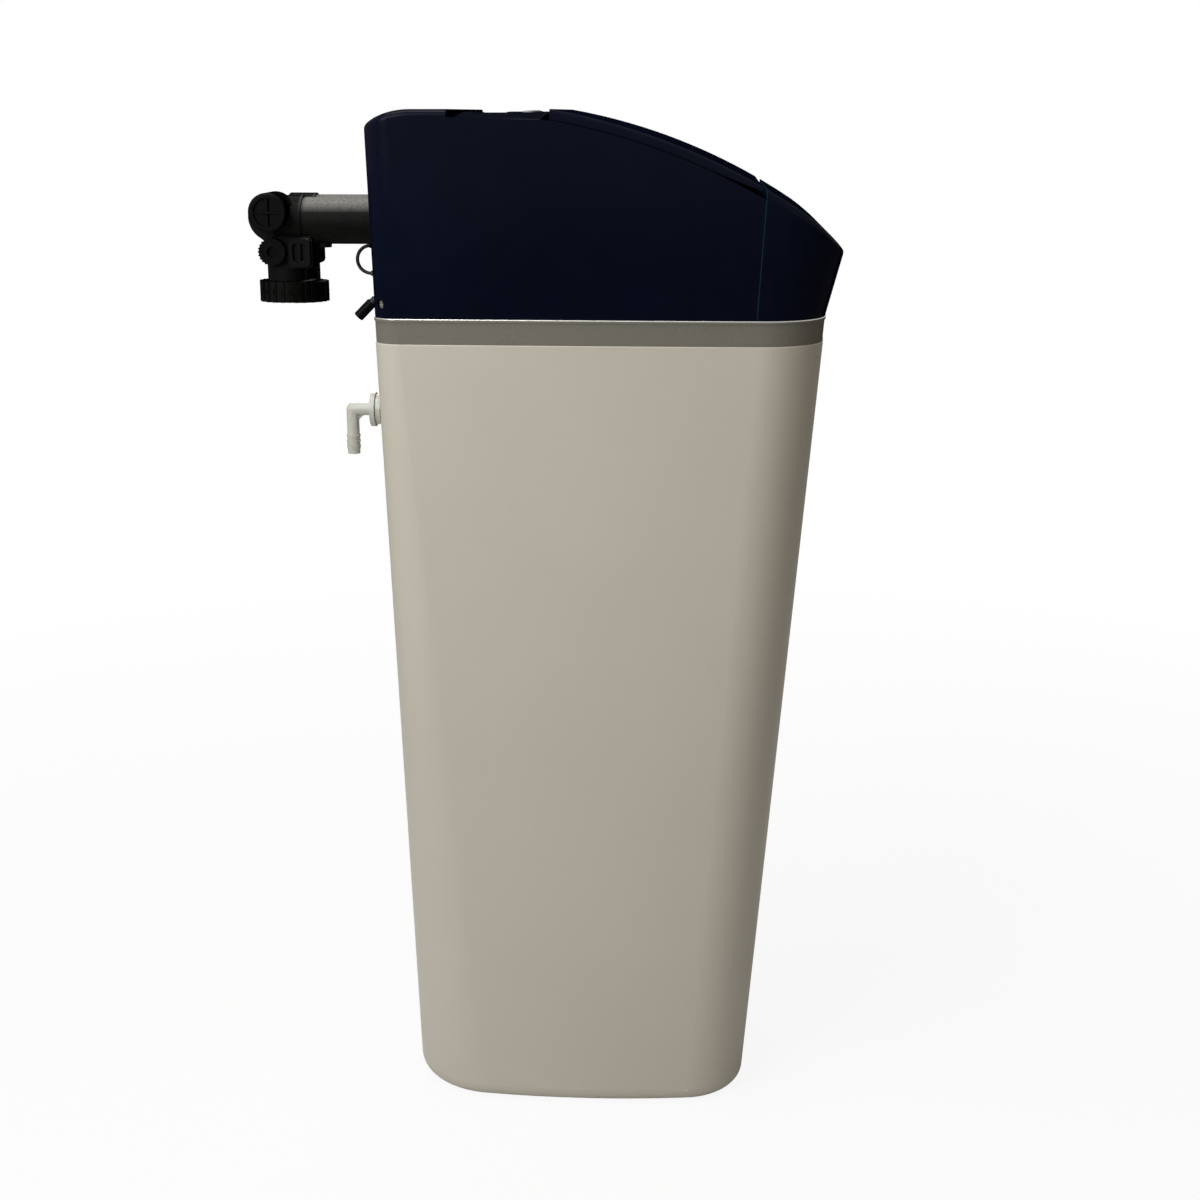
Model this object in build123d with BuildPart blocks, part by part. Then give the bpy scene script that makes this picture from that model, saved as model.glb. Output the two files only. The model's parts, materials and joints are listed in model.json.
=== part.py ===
from build123d import *
import math
import os

os.makedirs("parts", exist_ok=True)

# Cabinet water softener. The base stands at z = 0, the front faces -Y and the pipes leave at +Y.
# All lengths are in millimetres.

# General fits
overrun = 1.0
slack = 0.4
running = 0.05
far_reach = 350.0
upward_share = 0.4
diagonal_share = math.sqrt(0.5)
seat_gap = 0.3

# Cabinet, measured at its rim and at its base
cabinet_height = 898.0
rim_half_width = 160.0
base_half_width = 141.0
rim_rear = 244.2
base_rear = 224.4
rim_front = 239.7
base_front = 168.1
rim_rear_round = 30.0
base_rear_round = 99.0
rim_front_round = 70.0
base_front_round = 74.0
base_side_crown = 17.8
rim_side_crown = 3.0
rear_crown = 4.0
front_crown = 10.0
cabinet_wall = 4.0
cabinet_floor = 5.0
base_round = 19.3
rim_round = 1.2

# Trim band round the rim
band_height = 27.0
band_lip = 3.6
band_recess = 0.9
band_wall = 9.0
band_skirt_depth = 13.0
band_skirt_wall = 2.5

# Cover, lid and nose
cover_bottom = cabinet_height + band_height
cover_crest = 1139.3
cover_headroom = 20.7
cover_high = cover_crest + cover_headroom
cover_step = 0.8
cover_wall = 3.0
cover_side_draft = 2.0
cover_rear_lean = 7.0
cover_front_lean = 62.0
cap_start_y = 161.0
cap_drop_y = 200.0
cap_drop_radius = 85.0
cap_drop_reach = 72.0
crown_start_y = 53.0
lid_arc_end_y = -200.0
lid_arc_drop = 97.3
lid_arc_end_z = cover_crest - lid_arc_drop
lid_arc_radius = 697.0
nose_arc_end_y = -264.0
nose_arc_drop = 157.3
nose_arc_end_z = cover_crest - nose_arc_drop
nose_arc_radius = 225.0
cover_edge_round = 7.0
seam_base_y = -162.6
seam_lean = 0.0594
lid_skirt = 10.5
lid_wall = 3.0
lid_rear_y = 54.0
lid_front_y = -165.0
rim_gap = 0.8
panel_rim_drop = 8.0
finger_gap_y = -117.0
finger_gap_skirt = 4.9

# Lid hinge
hinge_y = 53.0
hinge_z = 1132.0
knuckle_radius = 3.4
knuckle_length = 10.0
ear_thickness = 6.0
ear_x = 100.0
hinge_pin_radius = 1.5

# Panel deck and control panel
deck_thickness = 3.0
deck_top = 1121.0
deck_front_y = 44.0
panel_rear_y = 158.0
panel_front_y = 64.0
panel_half_width = 149.0
panel_side_height = 8.5
panel_crest = 16.0
panel_wall = 2.5
window_width = 112.0
window_depth = 36.0
window_y = 128.0
lens_thickness = 2.0
button_radius = 7.0
button_flange = 1.8
button_flange_thickness = 1.4
button_y = 86.0
button_pitch = 30.0
button_names = ["menu_button", "down_button", "up_button", "set_button"]
button_proud = 1.6
button_travel = 1.2
board_width = 150.0
board_depth = 78.0
board_thickness = 1.6
coil_x = 50.0
coil_width = 10.0
coil_depth = 16.0
module_width = 86.0
module_depth = 32.0

# Cover screws in the rear corners
screw_z = 939.0
screw_head_radius = 4.4
screw_head_height = 2.4
screw_shank_radius = 2.0
screw_length = 14.0
screw_bore_radius = 5.75
screw_bore_depth = 3.2
boss_radius = 8.5
boss_length = 15.0
cross_width = 1.2
cross_depth = 1.4

# Resin tank and what it holds
tank_y = 80.0
tank_radius = 114.5
tank_wall = 3.5
tank_foot_z = 12.0
tank_dome = 62.0
tank_shoulder_z = 822.0
tank_neck_radius = 40.0
tank_neck_top = 893.0
tank_mouth_radius = 31.0
boot_radius = 121.0
boot_height = 105.0
riser_radius = 13.35
riser_wall = 2.0
basket_radius = 24.0
basket_height = 70.0
basket_slots = 12
basket_slot_width = 2.0
basket_slot_depth = 1.5
riser_foot_z = 60.0
resin_top = 560.0

# Control valve
valve_radius = 45.0
valve_top = 1052.0
valve_cap_height = 6.0
valve_cap_radius = 48.0
valve_cap_round = 3.0
valve_neck_depth = 16.0
port_x = 34.0
port_z = 1019.7
port_radius = 25.6
port_wall = 5.4
valve_port_y = 128.0
piston_z = 968.0
piston_radius = 14.0
piston_length = 40.0
piston_rest_y = 105.0
piston_rod_radius = 4.0
piston_rod_front_y = 16.0
piston_bore_end_y = 116.0
piston_ring_width = 3.0
piston_ring_depth = 1.0
piston_ring_shares = (0.2, 0.5, 0.8)
valve_front_y = 32.0
injector_z = 940.0
injector_radius = 13.0
injector_height = 9.0
injector_x = 56.0
injector_edge_round = 1.0
drain_flange_thickness = 4.0
fitting_radius = 9.0
fitting_x = 48.0
drain_drop = 26.0
drain_radius = 7.0
drain_spout_length = 18.0
drain_knuckle_radius = 8.5
drain_bore = 4.5

# Drive
bracket_thickness = 3.0
bracket_half_width = 44.0
bracket_low_z = 930.0
bracket_high_z = 1046.0
gear_module = 1.0
gear_teeth = 48
pinion_teeth = 12
gear_width = 6.0
gear_gap = 1.0
gear_boss_radius = 7.0
gear_hub_radius = 9.0
gear_hub_length = 7.0
tooth_root_width = 1.5
tooth_tip_width = 0.7
tooth_addendum = 0.8
tooth_dedendum = 1.2
motor_radius = 17.0
motor_length = 22.0
motor_shaft_radius = 2.0
motor_ear_width = 54.0
motor_ear_height = 12.0
motor_ear_thickness = 2.0
motor_ear_round = 4.0
motor_socket_depth = 6.0
post_radius = 3.0
post_x = 22.0

# Tubes to the bypass valve and the flow meter
tube_end_y = 348.0
tube_collar_radius = 27.6
tube_collar_length = 9.0
wall_hole_radius = 27.0
meter_y = 270.0
turbine_length = 16.0
turbine_radius = 17.5
turbine_hub_radius = 5.0
turbine_blades = 6
blade_thickness = 1.6
blade_length = 13.0
blade_angle = 35.0
turbine_shaft_radius = 1.5
turbine_shaft_length = 27.0
turbine_gap = 1.0
spider_length = 4.0
spider_rim = 1.6
spider_spokes = 4
spider_spoke_width = 2.0
spider_hub_radius = 3.5
meter_plug_y = 318.5
meter_plug_radius = 8.6
meter_plug_drop = 3.6
sensor_width = 21.8
sensor_length = 20.0
sensor_height = 20.0
sensor_low_z = 988.0
sensor_round = 2.0

# Bypass valve
bypass_y = 369.0
body_radius = 25.0
body_half_length = 52.0
barrel_y = 370.7
barrel_z = 1030.5
barrel_radius = 21.0
barrel_half_length = 64.0
barrel_bore = 13.0
barrel_wall = 1.2
collar_y = 371.0
collar_z = 1024.4
collar_radius = 26.8
collar_near_x = -56.0
collar_length = 20.0
plunger_knob_length = 17.0
plunger_button_radius = 12.5
plunger_travel = 22.0
plunger_rod_radius = 7.0
plunger_land_radius = 12.95
plunger_land_length = 12.0
plunger_land_shares = (0.35, 0.6, 0.85)
knob_dish_radius = 15.5
knob_dish_depth = 3.5
knob_rib_width = 2.0
knob_edge_round = 2.0
leg_y = 361.0
leg_radius = 22.0
leg_bottom = 954.6
right_leg_drop = 7.0
leg_bore = 13.0
neck_radius = 16.0
leg_flange_radius = 20.4
leg_flange_height = 4.0
nut_radius = 31.5
nut_height = 23.0
nut_bore_radius = 20.95
nut_lip = 5.0
nut_ribs = 20
nut_rib_width = 4.0
nut_rib_depth = 1.6
nut_slot_height = 7.0
nut_slot_width = 1.6
nut_thread_length = 11.0
nut_relief = 0.5
washer_height = 2.5
washer_bore = 14.0
plug_y = 371.0
plug_z = 987.0
plug_radius = 14.5
plug_length = 9.0
plug_hole_radius = 5.6
plug_hole_depth = 5.0
plug_serrations = 24
serration_radius = 1.0
clip_y = 341.5
clip_z = 986.0
clip_width = 24.0
clip_height = 31.0
clip_thickness = 4.0
clip_round = 5.0
clip_window_share = 0.62
clip_bar_width = 3.0
clip_pad_margin = 2.0
right_clip_shift = 4.5
right_clip_drop = 6.0
plug_pad_front_y = 345.0

# Meter cable
cable_radius = 2.0
cable_bend = 15.2
cable_route = [
    (0.0, 272.5, 959.0),
    (0.0, 277.6, 959.0),
    (0.0, 285.7, 964.9),
    (0.0, 288.8, 974.5),
    (0.0, 285.7, 984.1),
    (0.0, 277.6, 990.0),
    (0.0, 272.5, 990.0),
]
relief_base_radius = 4.6
relief_tip_radius = 3.2
relief_collar = 6.4
relief_collar_thickness = 2.0
relief_grooves = 4
relief_groove_width = 1.2
relief_groove_inner = 2.8
relief_groove_start = 6.0
relief_groove_pitch = 3.2

# Power socket in the rear wall
socket_x = -110.0
socket_z = 942.0
socket_tilt = 45.0
socket_lead_length = 7.0
socket_lead_radius = 3.4
socket_lead_ribs = 3
socket_rib_height = 0.9
socket_rib_width = 1.0
socket_radius = 5.7
socket_length = 22.0
socket_edge_round = 1.0
socket_bore = 3.6
socket_bore_depth = 10.0
socket_sleeve_wall = 0.7
socket_pin_radius = 1.05
socket_grommet_radius = 6.0
socket_collar_radius = 7.6
socket_collar_thickness = 1.6

# Overflow elbow
overflow_x = -105.0
overflow_z = 819.8
overflow_spout_y = 278.8
overflow_flange_radius = 18.8
overflow_flange_thickness = 5.2
overflow_shaft_radius = 9.0
overflow_pipe_radius = 6.8
overflow_bore = 5.0
wall_lean_allowance = 1.1
overflow_spout_bottom = 770.4
overflow_tip_length = 3.6
barb_count = 3
barb_pitch = 6.0
barb_height = 1.2
grommet_radius = 16.5
grommet_thickness = 6.0
grommet_neck_radius = 12.0
overflow_nut_radius = 15.0
overflow_nut_height = 8.0
gusset_reach = 12.0
gusset_thickness = 2.4

# Brine side
well_x = -74.0
well_y = -92.0
well_radius = 38.0
well_wall = 2.0
well_foot_z = 12.0
well_top = 855.0
well_slots = 6
well_slot_width = 4.0
well_slot_height = 60.0
well_cap_thickness = 8.0
well_cap_skirt = 14.0
pickup_offset = 8.0
brine_tube_radius = 4.75
brine_tube_bore = 3.2
brine_tube_z = 909.0
brine_bend = 16.0
safety_radius = 11.0
safety_top = 62.0
float_offset = -15.0
float_radius = 16.0
float_height = 80.0
float_round = 4.0
float_rod_radius = 3.0
float_rod_top = 872.0
grid_z = 90.0
grid_thickness = 4.0
grid_clearance = 2.0
grid_hole_radius = 4.5
grid_hole_pitch = 22.0
grid_columns = 11
grid_rows = 5
grid_leg_radius = 8.0
grid_leg_x_shares = (0.5, 0.38, -0.03)
grid_leg_y_shares = (-0.41, -0.66, -0.68)
chute_wall = 2.5
chute_half_width = 146.0
chute_front_y = -155.0
chute_rear_y = -38.0
chute_rear_top_y = 36.0
chute_shelf_z = 1040.0
chute_rear_top_z = 1098.0
chute_front_top_z = 1046.0
chute_flange = 8.0
chute_flange_front = 4.0
chute_shelf_thickness = 4.0
chute_flange_thickness = 2.5


def between(low, high, share):
    """The value at a share of the way from low to high."""
    return low + (high - low) * share


def finish(piece, label):
    """Name a finished piece and write it."""
    piece.label = label
    export_step(piece, "parts/" + label + ".step")


def crowned_outline(half_width, rear, front, rear_round, front_round, side_crown, inset):
    """Plan outline with four crowned walls, drawn in by inset."""
    side = half_width - inset
    back = rear - inset
    corner = front - front_crown - inset
    middle = (back - corner) / 2
    with BuildSketch() as plan:
        with BuildLine():
            ThreePointArc((-side, back), (0, back + rear_crown), (side, back))
            ThreePointArc((side, back), (side + side_crown, middle), (side, -corner))
            ThreePointArc((side, -corner), (0, -corner - front_crown), (-side, -corner))
            ThreePointArc((-side, -corner), (-side - side_crown, middle), (-side, back))
        make_face()
        fillet(plan.vertices().group_by(Axis.Y)[-1], radius=rear_round - inset)
        fillet(plan.vertices().group_by(Axis.Y)[0], radius=front_round - inset)
    return plan.sketch


def cabinet_outline(level, inset):
    """The cabinet's outline at one height, carried on past the rim for the band."""
    share = level / cabinet_height
    return crowned_outline(
        between(base_half_width, rim_half_width, share),
        between(base_rear, rim_rear, share),
        between(base_front, rim_front, share),
        between(base_rear_round, rim_rear_round, share),
        between(base_front_round, rim_front_round, share),
        between(base_side_crown, rim_side_crown, share),
        inset,
    )


def cover_outline(level, inset):
    """The cover's outline at one height: it leans out to the front over its whole height."""
    rim_share = cover_bottom / cabinet_height
    share = (level - cover_bottom) / (cover_high - cover_bottom)
    half_width = between(base_half_width, rim_half_width, rim_share) - cover_step
    rear = between(base_rear, rim_rear, rim_share) - cover_step
    front = between(base_front, rim_front, rim_share) - cover_step
    return crowned_outline(
        half_width - cover_side_draft * share,
        rear + cover_rear_lean * share,
        front + cover_front_lean * share,
        rim_rear_round,
        rim_front_round,
        between(base_side_crown, rim_side_crown, rim_share),
        inset,
    )


def slab(outline, low, high, inset):
    """Solid between two heights of a tapering outline."""
    with BuildPart() as form:
        with BuildSketch(Plane.XY.offset(low)):
            add(outline(low, inset))
        with BuildSketch(Plane.XY.offset(high)):
            add(outline(high, inset))
        loft()
    return form.part


def arc_mid(start, end, radius):
    """Point at the middle of an arc that bulges upwards and forwards between two points."""
    run_y = end[0] - start[0]
    run_z = end[1] - start[1]
    chord = math.hypot(run_y, run_z)
    rise = radius - math.sqrt(radius**2 - (chord / 2) ** 2)
    return (
        (start[0] + end[0]) / 2 + run_z / chord * rise,
        (start[1] + end[1]) / 2 - run_y / chord * rise,
    )


def top_curve(drop):
    """Side profile of the top from the nose to the hinge line, lowered by drop."""
    nose = (nose_arc_end_y, nose_arc_end_z - drop)
    brow = (lid_arc_end_y, lid_arc_end_z - drop)
    crest = (crown_start_y, cover_crest - drop)
    with BuildLine() as curve:
        ThreePointArc(nose, arc_mid(brow, nose, nose_arc_radius), brow)
        ThreePointArc(brow, arc_mid(crest, brow, lid_arc_radius), crest)
    return curve.line


def under_top_profile(inset):
    """Everything under the top of the cover, in side view."""
    tail_y = cap_drop_y + cap_drop_reach
    tail_drop = cap_drop_radius - math.sqrt(cap_drop_radius**2 - cap_drop_reach**2)
    half_drop = cap_drop_radius - math.sqrt(cap_drop_radius**2 - (cap_drop_reach / 2) ** 2)
    low = cover_bottom - band_height
    with BuildSketch() as side_view:
        with BuildLine():
            add(top_curve(0))
            Line((crown_start_y, cover_crest), (cap_drop_y, cover_crest))
            ThreePointArc(
                (cap_drop_y, cover_crest),
                (cap_drop_y + cap_drop_reach / 2, cover_crest - half_drop),
                (tail_y, cover_crest - tail_drop),
            )
            Polyline(
                (tail_y, cover_crest - tail_drop),
                (tail_y, low),
                (nose_arc_end_y, low),
                (nose_arc_end_y, nose_arc_end_z),
            )
        make_face()
        if inset > 0:
            offset(amount=-inset)
    return side_view.sketch


def cover_form(inset):
    """The whole outer form of cover, lid and nose, drawn in by inset."""
    low = cover_bottom if inset == 0 else cover_bottom - overrun
    with BuildPart() as form:
        add(slab(cover_outline, low, cover_high, inset))
        with BuildSketch(Plane.YZ):
            add(under_top_profile(inset))
        extrude(amount=rim_half_width + base_half_width, both=True, mode=Mode.INTERSECT)
        if inset == 0:
            crest_faces = form.faces().filter_by(lambda face: face.normal_at().Z > upward_share)
            fillet(crest_faces.edges().filter_by(Axis.X, reverse=True), radius=cover_edge_round)
            split(bisect_by=Plane.YZ)
            mirror(about=Plane.YZ)
    return form.part


def above_curve(drop, rear_y):
    """Block above the lowered top curve, forward of rear_y, right across the cover."""
    with BuildPart() as block:
        with BuildSketch(Plane.YZ):
            with BuildLine():
                add(top_curve(drop))
                Polyline(
                    (crown_start_y, cover_crest - drop),
                    (rear_y, cover_crest - drop),
                    (rear_y, cover_high),
                    (nose_arc_end_y, cover_high),
                    (nose_arc_end_y, nose_arc_end_z - drop),
                )
            make_face()
        extrude(amount=rim_half_width + base_half_width, both=True)
    return block.part


def along_y(start_y, end_y, low_z, high_z):
    """Block right across the cover between two depths and two heights."""
    with BuildPart() as block:
        with BuildSketch(Plane.YZ):
            with BuildLine():
                Polyline(
                    (start_y, low_z), (end_y, low_z), (end_y, high_z), (start_y, high_z), close=True
                )
            make_face()
        extrude(amount=rim_half_width + base_half_width, both=True)
    return block.part


def seam_block(shift, behind):
    """Half space behind or before the leaning seam between cover and nose."""
    far_y = far_reach if behind else -far_reach
    low_y = seam_base_y + shift
    rise = cover_high - cover_bottom
    with BuildPart() as block:
        with BuildSketch(Plane.YZ):
            with BuildLine():
                Polyline(
                    (low_y + seam_lean * band_height, cover_bottom - band_height),
                    (low_y - seam_lean * rise, cover_high),
                    (far_y, cover_high),
                    (far_y, cover_bottom - band_height),
                    close=True,
                )
            make_face()
        extrude(amount=rim_half_width + base_half_width, both=True)
    return block.part


def rear_wall_y(x, level):
    """Outside of the rear wall of cabinet or cover at one place."""
    if level < cover_bottom:
        share = level / cabinet_height
        return between(base_rear, rim_rear, share) + rear_crown * (1 - (x / rim_half_width) ** 2)
    share = (level - cover_bottom) / (cover_high - cover_bottom)
    corner = between(base_rear, rim_rear, cover_bottom / cabinet_height) - cover_step
    return corner + cover_rear_lean * share + rear_crown * (1 - (x / rim_half_width) ** 2)


# Cabinet shell
cabinet_outer = slab(cabinet_outline, 0, cabinet_height, 0)
cabinet_inner = slab(cabinet_outline, cabinet_floor, cabinet_height + overrun, cabinet_wall)
with BuildPart() as cabinet_cavity:
    add(cabinet_inner)
    fillet(cabinet_cavity.faces().sort_by(Axis.Z)[0].edges(), radius=base_round - cabinet_wall)
with BuildPart() as cabinet:
    add(cabinet_outer)
    fillet(cabinet.faces().sort_by(Axis.Z)[0].edges(), radius=base_round)
    fillet(cabinet.faces().sort_by(Axis.Z)[-1].edges(), radius=rim_round)
    add(cabinet_cavity.part, mode=Mode.SUBTRACT)
    with BuildSketch(Plane.XZ.offset(-base_rear)):
        with Locations((overflow_x, overflow_z)):
            Circle(grommet_neck_radius + slack)
    extrude(amount=-(rim_rear - base_rear) * 2, mode=Mode.SUBTRACT)
finish(cabinet.part, "cabinet")

# Trim band with its locating skirt inside the rim
band_body = slab(cabinet_outline, cabinet_height, cover_bottom - band_lip, band_recess)
band_top = slab(cabinet_outline, cover_bottom - band_lip, cover_bottom, 0)
band_hollow = slab(cabinet_outline, cabinet_height - overrun, cover_bottom + overrun, band_wall)
skirt_low = cabinet_height - band_skirt_depth
skirt_inset = cabinet_wall + seat_gap
skirt_outer = slab(cabinet_outline, skirt_low, cabinet_height, skirt_inset)
skirt_inner = slab(
    cabinet_outline, skirt_low - overrun, cabinet_height + overrun, skirt_inset + band_skirt_wall
)
with BuildPart() as trim_band:
    add(band_body)
    add(band_top)
    fillet(trim_band.faces().sort_by(Axis.Z)[-1].edges(), radius=band_recess)
    add(band_hollow, mode=Mode.SUBTRACT)
    add(skirt_outer)
    add(skirt_inner, mode=Mode.SUBTRACT)
finish(trim_band.part, "trim_band")

# Cover, nose and lid are cut from one form
outer_form = cover_form(0)
inner_form = cover_form(cover_wall)
cover_behind = seam_block(0, True)
nose_before = seam_block(0, False)
nose_cavity_before = seam_block(-cover_wall, False)
rim_cut = above_curve(lid_skirt + rim_gap, lid_rear_y + rim_gap)

# The rim beside the control panel falls from the cap to the foot of the lid's skirt
rim_foot_z = cover_crest - lid_skirt - rim_gap
with BuildPart() as panel_space:
    with BuildSketch(Plane.YZ):
        with BuildLine():
            Polyline(
                (cap_start_y, cover_high),
                (cap_start_y, cover_crest - panel_rim_drop),
                (lid_rear_y + rim_gap, rim_foot_z),
                (crown_start_y, rim_foot_z),
                (crown_start_y, cover_high),
                close=True,
            )
        make_face()
    extrude(amount=rim_half_width + base_half_width, both=True)


def lid_curve_z(y):
    """Height of the lid's outer curve at one depth."""
    chord_y = lid_arc_end_y - crown_start_y
    chord_z = lid_arc_end_z - cover_crest
    chord = math.hypot(chord_y, chord_z)
    reach = math.sqrt(lid_arc_radius**2 - (chord / 2) ** 2)
    centre_y = (lid_arc_end_y + crown_start_y) / 2 - chord_z / chord * reach
    centre_z = (lid_arc_end_z + cover_crest) / 2 + chord_y / chord * reach
    return centre_z + math.sqrt(lid_arc_radius**2 - (y - centre_y) ** 2)


# Finger gap: the lid's skirt tapers towards its front end
gap_end_y = lid_front_y - overrun
with BuildPart() as finger_gap:
    with BuildSketch(Plane.YZ):
        with BuildLine():
            Polyline(
                (finger_gap_y, lid_curve_z(finger_gap_y) - lid_skirt),
                (gap_end_y, lid_curve_z(gap_end_y) - finger_gap_skirt),
                (gap_end_y, cover_bottom),
                (finger_gap_y, cover_bottom),
                close=True,
            )
        make_face()
    extrude(amount=rim_half_width + base_half_width, both=True)

with BuildPart() as deck:
    add(inner_form)
    add(
        along_y(cap_start_y, deck_front_y, deck_top - deck_thickness, deck_top),
        mode=Mode.INTERSECT,
    )

with BuildPart() as cap_wall:
    add(inner_form)
    add(
        along_y(cap_start_y, cap_start_y + cover_wall, deck_top - deck_thickness, cover_high),
        mode=Mode.INTERSECT,
    )

corner_x = rim_half_width - cover_step - rim_rear_round
corner_y = rear_wall_y(rim_half_width, screw_z) - rim_rear_round


def corner_plane(side, depth):
    """Plane on the rounded rear corner, facing out along the diagonal, sunk by depth."""
    reach = (rim_rear_round - depth) * diagonal_share
    return Plane(
        origin=(side * (corner_x + reach), corner_y + reach, screw_z),
        z_dir=(side * diagonal_share, diagonal_share, 0),
    )


with BuildPart() as corner_bosses:
    for side in (-1, 1):
        with BuildSketch(corner_plane(side, boss_length)):
            Circle(boss_radius)
        extrude(amount=boss_length)
    add(outer_form, mode=Mode.INTERSECT)

cable_exit = (cable_route[0][0], cable_route[0][2])
with BuildPart() as top_cover:
    add(outer_form)
    add(inner_form, mode=Mode.SUBTRACT)
    add(deck.part)
    add(cap_wall.part)
    add(cover_behind, mode=Mode.INTERSECT)
    add(panel_space.part, mode=Mode.SUBTRACT)
    add(rim_cut, mode=Mode.SUBTRACT)
    with BuildSketch(Plane.XZ.offset(-rim_rear + rim_rear_round)):
        with Locations((-port_x, port_z), (port_x, port_z)):
            Circle(wall_hole_radius)
    extrude(amount=-rim_rear, mode=Mode.SUBTRACT)
    with BuildSketch(Plane.XZ.offset(-rim_rear + rim_rear_round)):
        with Locations(cable_exit):
            Circle(relief_base_radius)
        with Locations((socket_x, socket_z)):
            Circle(socket_grommet_radius)
    extrude(amount=-rim_rear, mode=Mode.SUBTRACT)
    add(corner_bosses.part)
    for side in (-1, 1):
        with BuildSketch(corner_plane(side, screw_bore_depth)):
            Circle(screw_bore_radius)
        extrude(amount=screw_bore_depth * 2, mode=Mode.SUBTRACT)
        with BuildSketch(corner_plane(side, boss_length)):
            Circle(screw_shank_radius + running)
        extrude(amount=boss_length, mode=Mode.SUBTRACT)
    for side in (-1, 1):
        with BuildSketch(Plane.YZ.offset(side * ear_x)):
            with BuildLine():
                Polyline(
                    (hinge_y - knuckle_radius, hinge_z),
                    (hinge_y - knuckle_radius, deck_top - deck_thickness),
                    (hinge_y + knuckle_radius, deck_top - deck_thickness),
                    (hinge_y + knuckle_radius, hinge_z),
                )
                ThreePointArc(
                    (hinge_y + knuckle_radius, hinge_z),
                    (hinge_y, hinge_z + knuckle_radius),
                    (hinge_y - knuckle_radius, hinge_z),
                )
            make_face()
            with Locations((hinge_y, hinge_z)):
                Circle(hinge_pin_radius + running, mode=Mode.SUBTRACT)
        extrude(amount=side * ear_thickness)
finish(top_cover.part, "top_cover")

with BuildPart() as nose_cavity:
    add(inner_form)
    add(nose_cavity_before, mode=Mode.INTERSECT)
with BuildPart() as front_cover:
    add(outer_form)
    add(nose_before, mode=Mode.INTERSECT)
    add(nose_cavity.part, mode=Mode.SUBTRACT)
finish(front_cover.part, "front_cover")

# Salt lid
lid_span = along_y(lid_rear_y, lid_front_y, cover_bottom, cover_high)
lid_hollow_span = along_y(
    lid_rear_y - lid_wall, lid_front_y + lid_wall, cover_bottom, cover_high
)
lid_layer = above_curve(lid_skirt, lid_rear_y + overrun)
with BuildPart() as lid_hollow:
    add(inner_form)
    add(lid_hollow_span, mode=Mode.INTERSECT)
knuckle_x = ear_x + ear_thickness + slack
with BuildPart() as salt_lid:
    add(outer_form)
    add(lid_span, mode=Mode.INTERSECT)
    add(lid_layer, mode=Mode.INTERSECT)
    add(lid_hollow.part, mode=Mode.SUBTRACT)
    add(finger_gap.part, mode=Mode.SUBTRACT)
    for side in (-1, 1):
        with BuildSketch(Plane.YZ.offset(side * knuckle_x)):
            with Locations((hinge_y, hinge_z)):
                Circle(knuckle_radius)
            with Locations((hinge_y, hinge_z + knuckle_radius / 2)):
                Rectangle(lid_wall, knuckle_radius * 2)
        extrude(amount=side * knuckle_length)
        with BuildSketch(Plane.YZ.offset(side * (ear_x - overrun))):
            with Locations((hinge_y, hinge_z)):
                Rectangle(4 * knuckle_radius, 2 * (knuckle_radius + lid_wall + seat_gap))
        extrude(amount=side * (ear_thickness + overrun + slack), mode=Mode.SUBTRACT)
        with BuildSketch(Plane.YZ.offset(side * knuckle_x)):
            with Locations((hinge_y, hinge_z)):
                Circle(hinge_pin_radius + running)
        extrude(amount=side * (knuckle_length + overrun), mode=Mode.SUBTRACT)
finish(salt_lid.part, "salt_lid")

with BuildPart() as lid_hinge_pins:
    for side in (-1, 1):
        with BuildSketch(Plane.YZ.offset(side * ear_x)):
            with Locations((hinge_y, hinge_z)):
                Circle(hinge_pin_radius)
        extrude(amount=side * (ear_thickness + slack + knuckle_length))
finish(lid_hinge_pins.part, "lid_hinge_pins")

# Cover screws with a cross recess
with BuildPart() as cover_screws:
    for side in (-1, 1):
        head_plane = corner_plane(side, screw_bore_depth)
        with BuildSketch(head_plane):
            Circle(screw_head_radius)
        extrude(amount=screw_head_height)
        with BuildSketch(head_plane):
            Circle(screw_shank_radius)
        extrude(amount=-(screw_length - screw_bore_depth))
        with BuildSketch(corner_plane(side, screw_bore_depth - screw_head_height)):
            Rectangle(cross_width, screw_head_radius)
            Rectangle(screw_head_radius, cross_width)
        extrude(amount=-cross_depth, mode=Mode.SUBTRACT)
finish(cover_screws.part, "cover_screws")


# Control panel
def panel_profile(inset):
    """Front view of the panel: low sides under a crowned top."""
    half_width = panel_half_width - inset
    side_top = deck_top + panel_side_height - inset
    crest = deck_top + panel_crest - inset
    low = deck_top if inset == 0 else deck_top - overrun
    with BuildSketch() as front_view:
        with BuildLine():
            Polyline(
                (half_width, side_top), (half_width, low), (-half_width, low), (-half_width, side_top)
            )
            ThreePointArc((-half_width, side_top), (0, crest), (half_width, side_top))
        make_face()
    return front_view.sketch


first_button_x = -button_pitch * (len(button_names) - 1) / 2
button_places = [
    (first_button_x + button_pitch * index, button_y) for index in range(len(button_names))
]
with BuildPart() as panel_fascia:
    with BuildSketch(Plane.XZ.offset(-panel_front_y)):
        add(panel_profile(0))
    extrude(amount=-(panel_rear_y - panel_front_y))
    fillet(
        panel_fascia.faces().filter_by(lambda face: face.normal_at().Z > upward_share).edges(),
        radius=panel_wall / 2,
    )
    with BuildSketch(Plane.XZ.offset(-panel_front_y - panel_wall)):
        add(panel_profile(panel_wall))
    extrude(amount=-(panel_rear_y - panel_front_y - 2 * panel_wall), mode=Mode.SUBTRACT)
    with BuildSketch(Plane.XY.offset(deck_top + panel_wall)):
        with Locations(*button_places):
            Circle(button_radius + slack)
        with Locations((0, window_y)):
            Rectangle(window_width, window_depth)
    extrude(amount=panel_crest * 2, mode=Mode.SUBTRACT)
finish(panel_fascia.part, "panel_fascia")

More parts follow.
